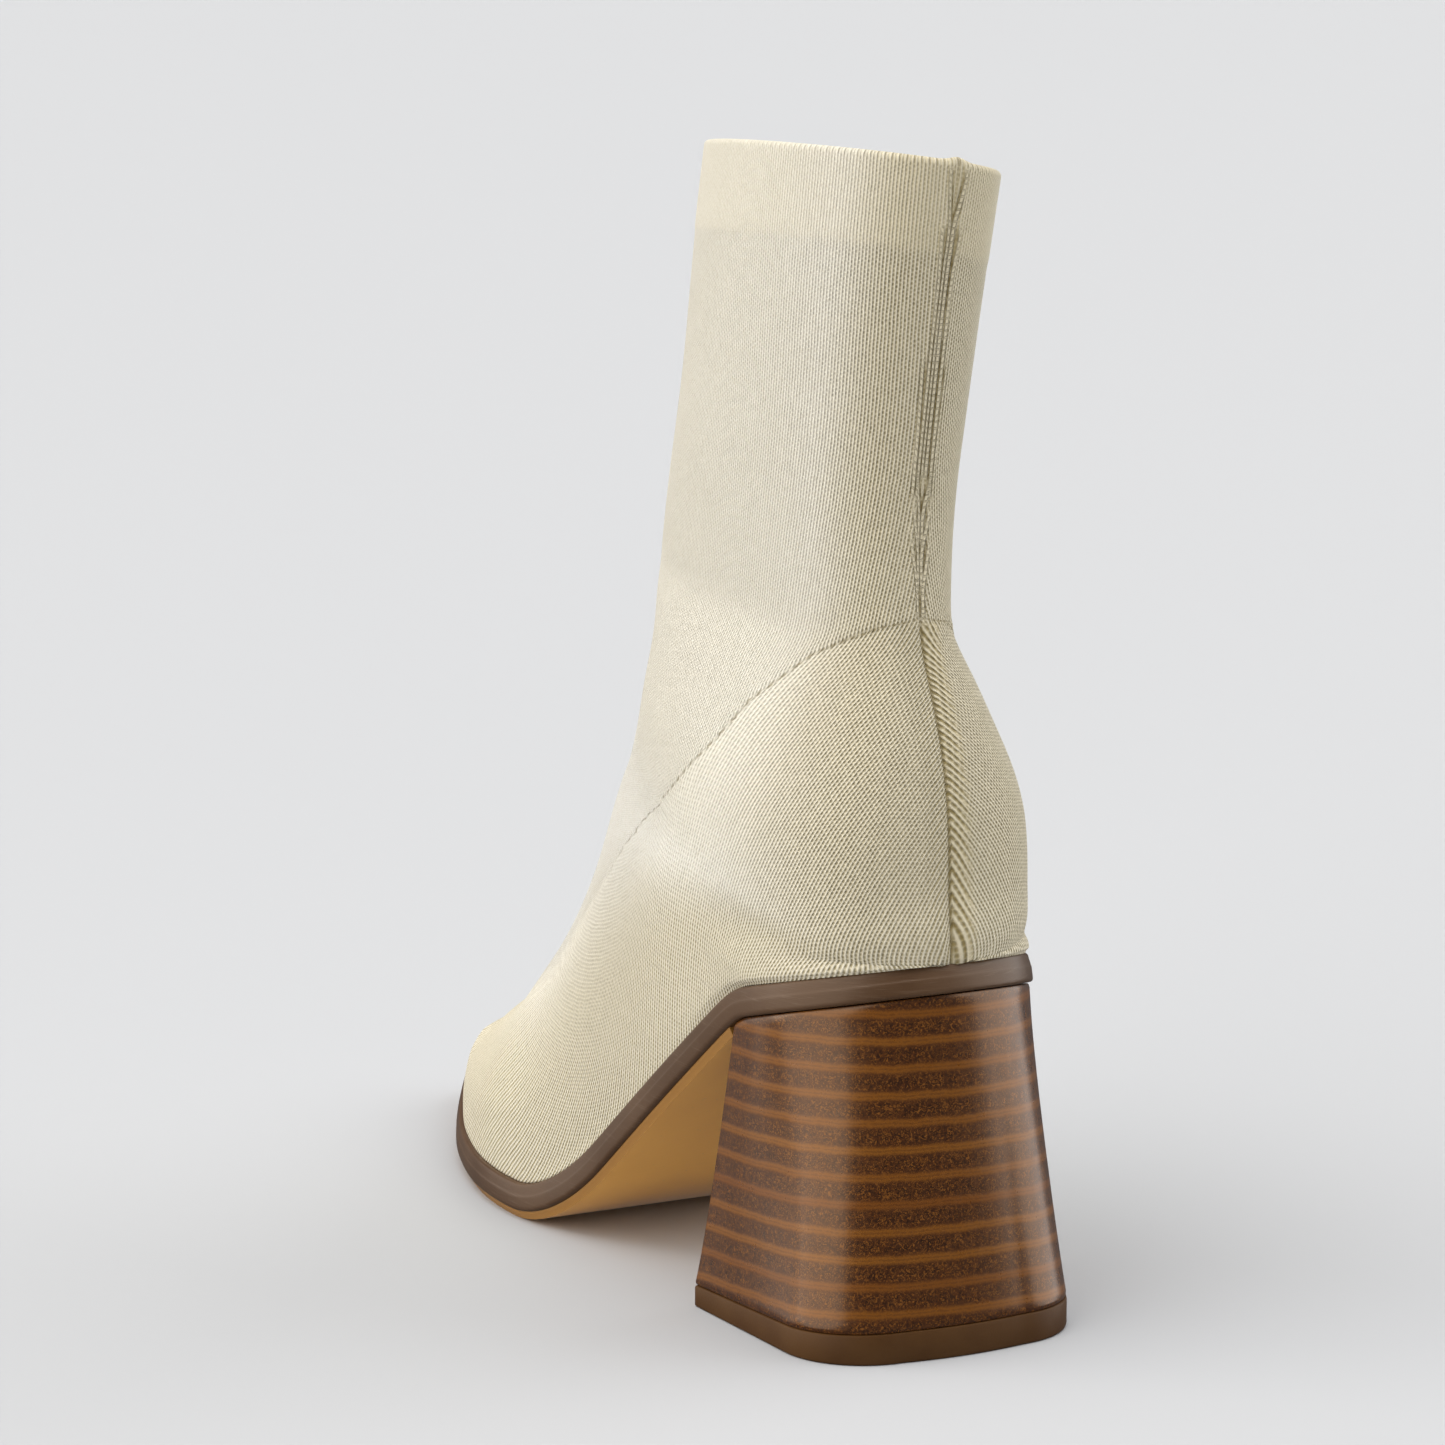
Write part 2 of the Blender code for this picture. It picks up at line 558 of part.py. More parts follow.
def make_upper():
    """The knitted upper as one hollow wall, open at the collar and underneath."""
    table = upper_table()
    rows = upper_rows()
    width = 2 * SIDE_COLUMNS + 1
    base = np.zeros((len(rows), width, 3))
    raised = np.zeros((len(rows), width))
    for i, k in enumerate(rows):
        for side in (0, 1):
            curve = section_curve(k, side, table)
            step = np.linalg.norm(np.diff(curve, axis=0), axis=1)
            arc = np.concatenate([[0.0], np.cumsum(step)])
            if arc[-1] < 1e-6:
                base[i, :, :] = curve[0]
                continue
            at = columns(arc[-1], SIDE_COLUMNS)
            for j, a in enumerate(at):
                p = [np.interp(a, arc, curve[:, c]) for c in range(3)]
                column = SIDE_COLUMNS - j if side == 0 else SIDE_COLUMNS + j
                base[i, column] = p
                raised[i, column] = ridge(k, arc[-1] - a)
    normals = grid_normals(base)
    seam = sum(k <= SEAM_ROW + 1e-9 for k in rows)
    joined = normals[:seam, 0] + normals[:seam, -1]
    joined /= np.linalg.norm(joined, axis=1)[:, None]
    normals[:seam, 0] = joined
    normals[:seam, -1] = joined
    outer = base + normals * raised[:, :, None]
    inner = base - normals * KNIT_WALL
    for i, k in enumerate(rows):
        if k >= SEAM_ROW - 1e-9:
            left, right = feather(edge_share(k), UPPER_INSET + KNIT_WALL)
            inner[i, 0] = left
            inner[i, -1] = right
    inner[-1, :] = inner[-1, 0]
    z, slope = sole_profile(inner[:, :, 0].ravel())
    bed = (z + (MIDSOLE_THICK + GAP) * np.sqrt(1.0 + slope ** 2)).reshape(inner.shape[:2])
    inner[:, :, 2] = np.maximum(inner[:, :, 2], bed)
    return close_wall("knit_upper", outer, inner, seam)


def close_wall(name, outer, inner, seam):
    """Joins two grids into one closed wall, sewn down the back and open at collar and sole."""
    rows, width, _ = outer.shape
    points = list(outer.reshape(-1, 3)) + list(inner.reshape(-1, 3))
    block = rows * width

    def at(layer, i, j):
        if i == rows - 1:
            j = 0
        if i < seam and j == width - 1:
            j = 0
        return layer * block + i * width + j

    faces = []
    for layer in (0, 1):
        for i in range(rows - 1):
            for j in range(width - 1):
                face = [at(layer, i, j), at(layer, i, j + 1), at(layer, i + 1, j + 1), at(layer, i + 1, j)]
                faces.append(face if layer == 0 else face[::-1])
    for j in range(width - 1):
        faces.append([at(0, 0, j + 1), at(0, 0, j), at(1, 0, j), at(1, 0, j + 1)])
    for i in range(seam - 1, rows - 1):
        for j in (0, width - 1):
            faces.append([at(0, i, j), at(0, i + 1, j), at(1, i + 1, j), at(1, i, j)])
    clean = [list(dict.fromkeys(face)) for face in faces]
    clean = [face for face in clean if len(face) > 2]
    used = sorted({v for face in clean for v in face})
    order = {v: n for n, v in enumerate(used)}
    points = [points[v] for v in used]
    clean = [[order[v] for v in face] for face in clean]
    return make_object(name, points, clean, (0.80, 0.76, 0.62), 0.9, 60.0)


def build():
    for obj in list(bpy.data.objects):
        bpy.data.objects.remove(obj)
    make_midsole()
    make_outsole()
    make_insole()
    make_heel_block()
    make_top_piece()
    make_upper()


build()
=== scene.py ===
"""The look of a cream knitted sock boot on a stacked-look block heel, left foot."""
import math

import bmesh
import bpy
import numpy as np
from mathutils import Matrix, Vector


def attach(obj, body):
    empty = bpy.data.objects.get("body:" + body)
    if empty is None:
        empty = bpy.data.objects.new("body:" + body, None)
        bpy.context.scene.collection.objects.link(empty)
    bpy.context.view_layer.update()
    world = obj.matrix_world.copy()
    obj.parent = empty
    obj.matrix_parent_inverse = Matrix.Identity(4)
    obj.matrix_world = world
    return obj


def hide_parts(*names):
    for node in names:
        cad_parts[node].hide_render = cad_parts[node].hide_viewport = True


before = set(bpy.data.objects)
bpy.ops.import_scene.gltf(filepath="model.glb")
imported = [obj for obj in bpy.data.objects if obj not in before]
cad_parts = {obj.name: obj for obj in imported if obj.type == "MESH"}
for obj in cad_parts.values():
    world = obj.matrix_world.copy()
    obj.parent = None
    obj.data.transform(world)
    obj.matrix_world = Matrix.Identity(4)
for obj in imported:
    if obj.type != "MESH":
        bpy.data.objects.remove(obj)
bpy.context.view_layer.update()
MM = 0.001

# Driving sizes of the sole, in millimetres, as in the part
SOLE_LENGTH = 226.0
HEEL_HEIGHT = 71.0
SEAT_WIDTH = 59.5
WAIST_WIDTH = 54.0
BALL_WIDTH = 80.0
TOE_SPRING = 9.0
SEAT_BACK = -22.8
FOREFOOT_SWING = 13.0
SEAT_ROUND = 28.5
TOE_ROUND = 60.0
MIDSOLE_THICK = 5.8
OUTSOLE_THICK = 1.5
OUTSOLE_INSET = 0.9
OUTSOLE_BREAST_GAP = 2.2
INSOLE_THICK = 1.6
INSOLE_INSET = 4.2
GAP = 0.3
SAME_POINT = 1e-4

# Angles in degrees above which an edge stays sharp
PLATE_SHARP = 50.0
HEEL_SHARP = 40.0

# Driving sizes of the heel
HEEL_BASE_DEPTH = 54.4
HEEL_BASE_WIDTH = 61.0
HEEL_CORNER = 17.0
HEEL_BACK_CROWN = 1.2
HEEL_TOP_INSET = 0.8
HEEL_BREAST_HOLLOW = 2.0
HEEL_SEAT_GAP = 0.2
HEEL_EDGE = 0.35
HEEL_EDGE_SHARE = 0.014
HEEL_FLARE = 0.93
BREAST_CORNER = 0.5
TOP_PIECE_GAP = 0.15
BREAST_AT = 37.5
TOP_PIECE_BACK = 6.2
TOP_PIECE_FRONT = 4.4

# Driving sizes of the knitted upper
UPPER_INSET = 1.6
KNIT_WALL = 1.6
COLLAR_HEIGHT = 226.5
COLLAR_DEPTH = 84.0
COLLAR_WIDTH = 46.2
COLLAR_CENTRE = 27.7
COLLAR_LEAN = -4.5
COLLAR_FALL_FORWARD = 0.055
COLLAR_RISE_OUTWARD = 0.18
ANKLE_HEIGHT = 149.0
ANKLE_DEPTH = 92.5
ANKLE_CENTRE = 37.9
ANKLE_WIDTH = 39.7
INSTEP_HEIGHT = 115.0
HEEL_CURVE = 12.0
COUNTER_WIDTH = 61.5
HEM_HEIGHT = 17.0


def spline(xs, ys, x):
    """Natural cubic spline through the points of a table, read at x."""
    xs = np.asarray(xs, float)
    ys = np.asarray(ys, float)
    n = len(xs)
    h = np.diff(xs)
    a = np.zeros((n, n))
    r = np.zeros(n)
    a[0, 0] = a[-1, -1] = 1.0
    for i in range(1, n - 1):
        a[i, i - 1] = h[i - 1]
        a[i, i] = 2.0 * (h[i - 1] + h[i])
        a[i, i + 1] = h[i]
        r[i] = 6.0 * ((ys[i + 1] - ys[i]) / h[i] - (ys[i] - ys[i - 1]) / h[i - 1])
    m = np.linalg.solve(a, r)
    x = np.clip(np.asarray(x, float), xs[0], xs[-1])
    i = np.clip(np.searchsorted(xs, x, side="right") - 1, 0, n - 2)
    d = x - xs[i]
    b = (ys[i + 1] - ys[i]) / h[i] - h[i] * (2.0 * m[i] + m[i + 1]) / 6.0
    return ys[i] + b * d + m[i] * d ** 2 / 2.0 + (m[i + 1] - m[i]) * d ** 3 / (6.0 * h[i])


def hermite(rows, x):
    """Curve through rows of (place, value, slope), read at x, with its slope."""
    rows = np.asarray(rows, float)
    x = np.clip(np.asarray(x, float), rows[0, 0], rows[-1, 0])
    i = np.clip(np.searchsorted(rows[:, 0], x, side="right") - 1, 0, len(rows) - 2)
    x0, y0, m0 = np.moveaxis(rows[i], -1, 0)
    x1, y1, m1 = np.moveaxis(rows[i + 1], -1, 0)
    w = x1 - x0
    t = (x - x0) / w
    value = (
        (2 * t ** 3 - 3 * t ** 2 + 1) * y0 + (t ** 3 - 2 * t ** 2 + t) * w * m0
        + (3 * t ** 2 - 2 * t ** 3) * y1 + (t ** 3 - t ** 2) * w * m1
    )
    slope = (
        (6 * t ** 2 - 6 * t) * (y0 - y1) / w + (3 * t ** 2 - 4 * t + 1) * m0 + (3 * t ** 2 - 2 * t) * m1
    )
    return value, slope


# The sole's underside from the side: share of the length, share of the heel height, slope
FLOOR_LIFT = OUTSOLE_THICK + GAP
PROFILE = [
    # along, up, slope
    (0.000, 1.000, -0.255),
    (0.138, 0.884, -0.270),
    (0.192, 0.789, -0.680),
    (0.415, 0.236, -0.830),
    (0.567, 0.000, 0.000),
    (0.665, 0.000, 0.000),
]
TOE_SLOPE = 0.22

# The sole's outline from above: share of the length, width it follows, outer half, inner half, swing
OUTLINE = [
    # along, width, outer, inner, swing
    (0.000, SEAT_WIDTH, 0.500, 0.500, 0.00),
    (0.127, SEAT_WIDTH, 0.500, 0.500, 0.00),
    (0.228, WAIST_WIDTH, 0.550, 0.485, 0.08),
    (0.339, WAIST_WIDTH, 0.570, 0.430, 0.17),
    (0.451, WAIST_WIDTH, 0.625, 0.520, 0.29),
    (0.562, BALL_WIDTH, 0.478, 0.468, 0.42),
    (0.638, BALL_WIDTH, 0.480, 0.515, 0.52),
    (0.719, BALL_WIDTH, 0.440, 0.512, 0.63),
    (0.808, BALL_WIDTH, 0.368, 0.475, 0.75),
    (0.897, BALL_WIDTH, 0.290, 0.415, 0.88),
    (1.000, BALL_WIDTH, 0.205, 0.340, 1.00),
]


def sole_profile(x):
    """Height and slope of the midsole's underside at x."""
    rise = HEEL_HEIGHT - FLOOR_LIFT
    rows = [(SEAT_BACK + a * SOLE_LENGTH, FLOOR_LIFT + u * rise, m) for a, u, m in PROFILE]
    rows.append((SEAT_BACK + SOLE_LENGTH, FLOOR_LIFT + TOE_SPRING, TOE_SLOPE))
    return hermite(rows, x)


def sole_point(x, y, lift):
    """Point above the midsole's underside by lift, square to the sole, as rows of x, y, z."""
    z, slope = sole_profile(x)
    size = np.sqrt(1.0 + slope ** 2)
    return np.stack([x - lift * slope / size, y + 0.0 * x, z + lift / size], axis=-1)


def half_widths(x):
    """The sole's centre line, outer and inner half width at x, rounded off at both ends."""
    along = [SEAT_BACK + r[0] * SOLE_LENGTH for r in OUTLINE]
    line = -FOREFOOT_SWING * spline(along, [r[4] for r in OUTLINE], x)
    outer = spline(along, [r[1] * r[2] for r in OUTLINE], x)
    inner = spline(along, [r[1] * r[3] for r in OUTLINE], x)
    back = np.clip(1.0 - (x - SEAT_BACK) / SEAT_ROUND, 0.0, 1.0)
    front = np.clip(1.0 - (SEAT_BACK + SOLE_LENGTH - x) / TOE_ROUND, 0.0, 1.0)
    ends = np.sqrt(1.0 - back ** 2) * (1.0 - front ** 2.2) ** (1.0 / 2.1)
    return line, outer * ends, inner * ends


def outline_sides(stations, inset):
    """Left and right edge of the sole as two rows of x, y from back to toe, moved in by inset."""
    t = np.linspace(0.0, 1.0, 400)
    x = SEAT_BACK + SOLE_LENGTH * (1.0 - np.cos(np.pi * t)) / 2.0
    line, outer, inner = half_widths(x)
    sides = []
    for sign, half in ((1.0, outer), (-1.0, inner)):
        p = np.stack([x, line + sign * half], axis=-1)
        d = np.gradient(p, axis=0)
        d /= np.linalg.norm(d, axis=1)[:, None]
        d[0] = (0.0, sign)
        d[-1] = (0.0, -sign)
        p = p - inset * sign * np.stack([-d[:, 1], d[:, 0]], axis=-1)
        step = np.linalg.norm(np.diff(p, axis=0), axis=1)
        arc = np.concatenate([[0.0], np.cumsum(step)])
        arc /= arc[-1]
        sides.append(np.stack([np.interp(stations, arc, p[:, c]) for c in (0, 1)], axis=-1))
    return sides


def share_at(x, inset):
    """Share of the way round the sole's edge, from back to toe, at x."""
    stations = np.linspace(0.0, 1.0, 400)
    left, right = outline_sides(stations, inset)
    middle = (left[:, 0] + right[:, 0]) / 2.0
    return float(np.interp(x, middle, stations))


def link(name, data):
    """A new object of the scene that shows a mesh, light or camera."""
    obj = bpy.data.objects.new(name, data)
    bpy.context.collection.objects.link(obj)
    return obj


def turn_outward(mesh, merge=0.0):
    """Turns a mesh's faces outward, after points closer than merge are joined, and shades it smooth."""
    bm = bmesh.new()
    bm.from_mesh(mesh)
    if merge:
        bmesh.ops.remove_doubles(bm, verts=bm.verts, dist=merge)
    bmesh.ops.recalc_face_normals(bm, faces=bm.faces)
    bm.to_mesh(mesh)
    bm.free()
    mesh.shade_smooth()


def new_mesh(name, points, faces):
    """A mesh in metres from points in millimetres."""
    mesh = bpy.data.meshes.new(name)
    mesh.from_pydata([tuple(float(c) * MM for c in p) for p in points], [], faces)
    return mesh


def finish_piece(name, points, faces, sharp):
    """A piece of the sole or heel, with its edges sharp above an angle."""
    mesh = new_mesh(name, points, faces)
    turn_outward(mesh, SAME_POINT * MM)
    mesh.set_sharp_from_angle(angle=math.radians(sharp))
    return link(name, mesh)


def ladder(name, levels, sharp):
    """A solid from levels of (left row, right row) whose rungs close its top and bottom."""
    points = []
    faces = []
    count = len(levels[0][0])
    for left, right in levels:
        points.extend(left)
        points.extend(right)

    def at(level, side, i):
        return level * 2 * count + side * count + i

    top = len(levels) - 1
    for i in range(count - 1):
        for level in range(top):
            for side in (0, 1):
                faces.append([at(level, side, i), at(level, side, i + 1), at(level + 1, side, i + 1),
                              at(level + 1, side, i)])
        for level in (0, top):
            faces.append([at(level, 0, i), at(level, 0, i + 1), at(level, 1, i + 1), at(level, 1, i)])
    for i in (0, count - 1):
        for level in range(top):
            faces.append([at(level, 0, i), at(level, 1, i), at(level + 1, 1, i), at(level + 1, 0, i)])
    clean = []
    for face in faces:
        keep = []
        for v in face:
            if all(np.linalg.norm(np.subtract(points[v], points[w])) > SAME_POINT for w in keep):
                keep.append(v)
        if len(keep) > 2:
            clean.append(keep)
    return finish_piece(name, points, clean, sharp)


# Stations round the sole's edge, closer together at both ends
END_CROWDING = 0.35
EVEN = np.linspace(0.0, 1.0, 181)
CROWDED = (1.0 - np.cos(np.pi * EVEN)) / 2.0
EDGE_STATIONS = CROWDED * END_CROWDING + EVEN * (1.0 - END_CROWDING)


def plate(name, levels, start=0.0):
    """A sole plate from side levels of (inset, lift), from a share of the way round to the toe."""
    stations = np.concatenate([[start], EDGE_STATIONS[EDGE_STATIONS > start + 0.002]])
    rows = []
    for inset, lift in levels:
        left, right = outline_sides(stations, inset)
        rows.append((sole_point(left[:, 0], left[:, 1], lift), sole_point(right[:, 0], right[:, 1], lift)))
    return ladder(name, rows, PLATE_SHARP)


def make_midsole():
    """The moulded plate whose side is the rand: rounded edges, a parting line and a slight flare."""
    thick = MIDSOLE_THICK
    parting = 0.56 * thick
    levels = [
        (0.95, 0.0), (0.45, 0.06), (0.16, 0.26), (0.02, 0.6), (0.0, 1.1), (0.0, parting - 0.5),
        (0.02, parting - 0.15), (0.06, parting), (0.13, parting + 0.15), (0.16, parting + 0.5),
        (0.36, thick - 1.1), (0.44, thick - 0.5), (0.62, thick - 0.18), (1.0, thick),
    ]
    return plate("rand", levels)


def make_outsole():
    """The thin tread plate from the heel's breast to the toe."""
    start = share_at(SEAT_BACK + BREAST_AT + OUTSOLE_BREAST_GAP, OUTSOLE_INSET)
    thick = OUTSOLE_THICK
    levels = [
        (OUTSOLE_INSET + 0.9, -GAP - thick), (OUTSOLE_INSET + 0.6, -GAP - thick + 0.05),
        (OUTSOLE_INSET + 0.15, -0.7), (OUTSOLE_INSET, -0.5), (OUTSOLE_INSET, -0.05),
    ]
    return plate("tan_outsole", levels, start)


def make_insole():
    """The sock lining that lies on the midsole inside the upper."""
    foot = MIDSOLE_THICK + GAP
    levels = [
        (INSOLE_INSET, foot), (INSOLE_INSET, foot + 0.5 * INSOLE_THICK),
        (INSOLE_INSET + 0.3, foot + 0.85 * INSOLE_THICK), (INSOLE_INSET + 0.9, foot + INSOLE_THICK),
    ]
    return plate("sock_lining", levels)


def heel_half(shares):
    """Half outline of the heel's foot at shares of the way from the middle of the back to the breast."""
    half = HEEL_BASE_WIDTH / 2.0
    back = -HEEL_BASE_DEPTH / 2.0
    flat = np.linspace(0.0, half - HEEL_CORNER, 8)[:-1]
    crown = back - HEEL_BACK_CROWN * (1.0 - (flat / (half - HEEL_CORNER)) ** 2)
    turn = np.linspace(0.0, np.pi / 2.0, 33)
    corner_x = back + HEEL_CORNER * (1.0 - np.cos(turn))
    corner_y = half - HEEL_CORNER * (1.0 - np.sin(turn))
    x = np.concatenate([crown, corner_x, [HEEL_BASE_DEPTH / 2.0]])
    y = np.concatenate([flat, corner_y, [half]])
    arc = np.concatenate([[0.0], np.cumsum(np.hypot(np.diff(x), np.diff(y)))])
    at = arc[-1] * np.asarray(shares)
    return np.stack([np.interp(at, arc, x), np.interp(at, arc, y)], axis=-1)


def heel_foot_lift(x):
    """Height of the joint between heel block and top piece, a little lower toward the breast."""
    t = (x + HEEL_BASE_DEPTH / 2.0) / HEEL_BASE_DEPTH
    return TOP_PIECE_BACK + (TOP_PIECE_FRONT - TOP_PIECE_BACK) * t


def heel_rows(share, lift_at, shrink=0.0):
    """Left and right row of the heel from its foot (share 0) to the seat (share 1), drawn in by shrink."""
    breast = share_at(SEAT_BACK + BREAST_AT, HEEL_TOP_INSET)
    stations = np.linspace(0.0, breast, 61)
    seat = outline_sides(stations, HEEL_TOP_INSET)
    foot = heel_half(stations / breast)
    rows = []
    for sign, top in zip((1.0, -1.0), seat):
        x = foot[:, 0] + (top[:, 0] - foot[:, 0]) * share
        y = sign * foot[:, 1] + (top[:, 1] - sign * foot[:, 1]) * share
        y = y * (1.0 - shrink / (HEEL_BASE_WIDTH / 2.0))
        x = x * (1.0 - shrink / (HEEL_BASE_DEPTH / 2.0))
        rows.append(np.stack([x, y, lift_at(x)], axis=-1))
    return rows


def with_breast(rows):
    """Adds a rounded breast corner and the breast's points, hollowed toward the back, to both rows."""
    left, right = rows
    out = []
    for row, other in ((left, right), (right, left)):
        middle = (row[-1] + other[-1]) / 2.0
        inward = (middle - row[-1]) / np.linalg.norm(middle - row[-1])
        back = (row[-2] - row[-1]) / np.linalg.norm(row[-2] - row[-1])
        end = row[-1].copy()
        extra = []
        for turn in np.linspace(0.0, np.pi / 2.0, 5):
            round_off = back * (1.0 - np.sin(turn)) + inward * (1.0 - np.cos(turn))
            extra.append(end + BREAST_CORNER * round_off)
        for r in (0.9, 0.75, 0.6, 0.45, 0.3, 0.15, 0.0):
            p = middle + (end - middle) * r
            extra.append(p + np.array([-HEEL_BREAST_HOLLOW * (1.0 - r ** 2), 0.0, 0.0]))
        out.append(np.vstack([row[:-1], extra]))
    return out


def block_height(x, share):
    """Height of the heel block at x, a share of the way from its foot to the seat."""
    z, slope = sole_profile(x)
    top = z - HEEL_SEAT_GAP * np.sqrt(1.0 + slope ** 2)
    foot = heel_foot_lift(x) + TOP_PIECE_GAP
    return foot + (top - foot) * share


def make_heel_block():
    """Moulded block heel: squarish at its foot, round at the seat, with a hollow breast."""
    levels = []
    shares = np.concatenate([[0.0, 0.006, 0.014], np.linspace(0.03, 0.97, 26), [0.986, 0.994, 1.0]])
    for share in shares:
        from_end = min(share, 1.0 - share)
        edge = max(0.0, 1.0 - from_end / HEEL_EDGE_SHARE) ** 2 * HEEL_EDGE
        rows = heel_rows(share ** HEEL_FLARE, lambda x: block_height(x, share), edge)
        levels.append(with_breast(rows))
    return ladder("stacked_heel", levels, HEEL_SHARP)


def make_top_piece():
    """The rubber top piece under the heel."""
    levels = []
    for up, shrink in ((0.0, 0.45), (0.04, 0.12), (0.1, 0.0), (0.9, 0.0), (0.97, 0.1), (1.0, 0.35)):
        rows = heel_rows(0.0, lambda x: heel_foot_lift(x) * up, shrink)
        levels.append(with_breast(rows))
    return ladder("heel_lift", levels, HEEL_SHARP)


# The shaft's sections from the collar down to the ankle, each a share of the way between them
SHAFT = [
    # name, front up, back up, centre, depth, width, lean
    ("collar", 1.000, 1.000, 1.00, 1.00, 1.00, 1.00),
    ("shaft_high", 0.723, 0.723, 0.68, 1.02, 0.94, 0.73),
    ("shaft_mid", 0.439, 0.426, 0.43, 1.00, 0.75, 0.43),
    ("shaft_low", 0.206, 0.155, 0.17, 0.66, 0.37, 0.15),
    ("ankle", 0.000, -0.077, 0.00, 0.00, 0.00, 0.02),
]

# The heel's sections from ankle to seat: top line as shares of the length and the instep height,
# seam as shares of the heel curve and of the way up from seat to ankle, half widths of the counter
HEEL = [
    # name, top along, top up, seam in, seam up, outer, inner, widest, square, square low
    ("achilles", 0.4794, 1.244, 0.80, 0.870, 0.325, 0.321, 0.51, 1.99, 2.05),
    ("counter_high", 0.4800, 1.196, 0.48, 0.740, 0.372, 0.368, 0.52, 1.89, 2.15),
    ("counter_mid", 0.4815, 1.148, 0.18, 0.590, 0.417, 0.418, 0.54, 1.80, 2.30),
    ("counter_low", 0.4858, 1.100, 0.00, 0.417, 0.462, 0.480, 0.56, 1.75, 2.45),
    ("counter_full", 0.4948, 1.050, -0.04, 0.223, 0.491, 0.514, 0.58, 1.74, 2.55),
    ("seam_foot", 0.5080, 0.991, 0.00, 0.000, 0.497, 0.508, 0.60, 1.74, 2.55),
]

# The foot's sections from the seat to the toe: top line, share of the way round the sole's edge,
# the width that each follows, outer and inner half width, place of the widest point, squareness
FOOT = [
    # name, top along, top up, swing, round, width, outer, inner, widest, square, square low
    ("seat_back", 0.5177, 0.951, 0.02, 0.070, COUNTER_WIDTH, 0.498, 0.491, 0.61, 1.72, 2.40),
    ("seat_side", 0.5290, 0.901, 0.06, 0.160, COUNTER_WIDTH, 0.495, 0.485, 0.63, 1.68, 2.10),
    ("waist_back", 0.5440, 0.843, 0.11, 0.270, COUNTER_WIDTH, 0.487, 0.466, 0.67, 1.67, 2.00),
    ("waist_front", 0.5626, 0.764, 0.18, 0.385, COUNTER_WIDTH, 0.480, 0.458, 0.71, 1.62, 2.00),
    ("joint_back", 0.5888, 0.662, 0.27, 0.500, BALL_WIDTH, 0.389, 0.459, 0.75, 1.60, 2.00),
    ("joint", 0.6248, 0.556, 0.38, 0.600, BALL_WIDTH, 0.397, 0.579, 0.77, 1.58, 2.00),
    ("toe_back", 0.6783, 0.450, 0.54, 0.690, BALL_WIDTH, 0.338, 0.618, 0.78, 1.60, 2.00),
    ("toe_mid", 0.7415, 0.370, 0.69, 0.775, BALL_WIDTH, 0.244, 0.588, 0.78, 1.67, 2.00),
    ("toe_front", 0.8092, 0.309, 0.81, 0.850, BALL_WIDTH, 0.132, 0.505, 0.78, 1.68, 2.00),
    ("toe_cap", 0.8735, 0.240, 0.90, 0.910, BALL_WIDTH, 0.033, 0.407, 0.76, 1.72, 2.00),
    ("toe_end", 0.9300, 0.196, 0.96, 0.960, BALL_WIDTH, -0.059, 0.295, 0.72, 1.86, 2.00),
    ("toe_face", 0.9735, 0.158, 0.98, 0.985, BALL_WIDTH, -0.104, 0.220, 0.70, 1.95, 2.00),
]
ANKLE_ROW = len(SHAFT) - 1
SEAM_ROW = len(SHAFT) + len(HEEL) - 1
TOE_ROW = SEAM_ROW + len(FOOT) + 1

# The fold line from the back seam to the instep: row of the upper, share of the way from the top line
FOLD = [
    # row, share
    (4.08, 1.000),
    (4.29, 0.922),
    (4.62, 0.868),
    (5.29, 0.781),
    (6.64, 0.641),
    (7.90, 0.552),
    (9.92, 0.408),
    (10.7, 0.422),
    (11.5, 0.440),
    (12.0, 0.462),
    (12.5, 0.482),
    (13.0, 0.492),
    (13.6, 0.488),
    (16.0, 0.440),
    (20.0, 0.340),
    (24.0, 0.300),
]

# Lean of the knit's wales from the sole line, seen from the side: place along, angle, wale pitch
WALES = [
    # along, angle, pitch
    (-60.0, 61.0, 0.82),
    (8.0, 61.0, 0.82),
    (24.0, 66.0, 0.90),
    (40.0, 72.0, 1.00),
    (52.0, 67.0, 1.06),
    (64.0, 54.0, 1.06),
    (76.0, 44.0, 1.00),
    (90.0, 39.0, 0.93),
    (105.0, 37.0, 0.84),
    (160.0, 31.0, 0.80),
    (205.0, 28.0, 0.80),
]
COURSE_PITCH = 0.81
SHAFT_WALE = 0.715


def feather(share, inset):
    """Points of the upper's lower edge on the midsole, left and right, at a share of the way round."""
    left, right = outline_sides(np.atleast_1d(share), inset)
    lift = MIDSOLE_THICK + 0.1
    return [sole_point(side[:, 0], side[:, 1], lift)[0] for side in (left, right)]


def edge_share(k):
    """Share of the way round the sole's edge where the section of row k ends."""
    shares = [0.0] + [r[4] for r in FOOT] + [1.0]
    return float(spline(np.arange(len(shares)) + SEAM_ROW, shares, k))


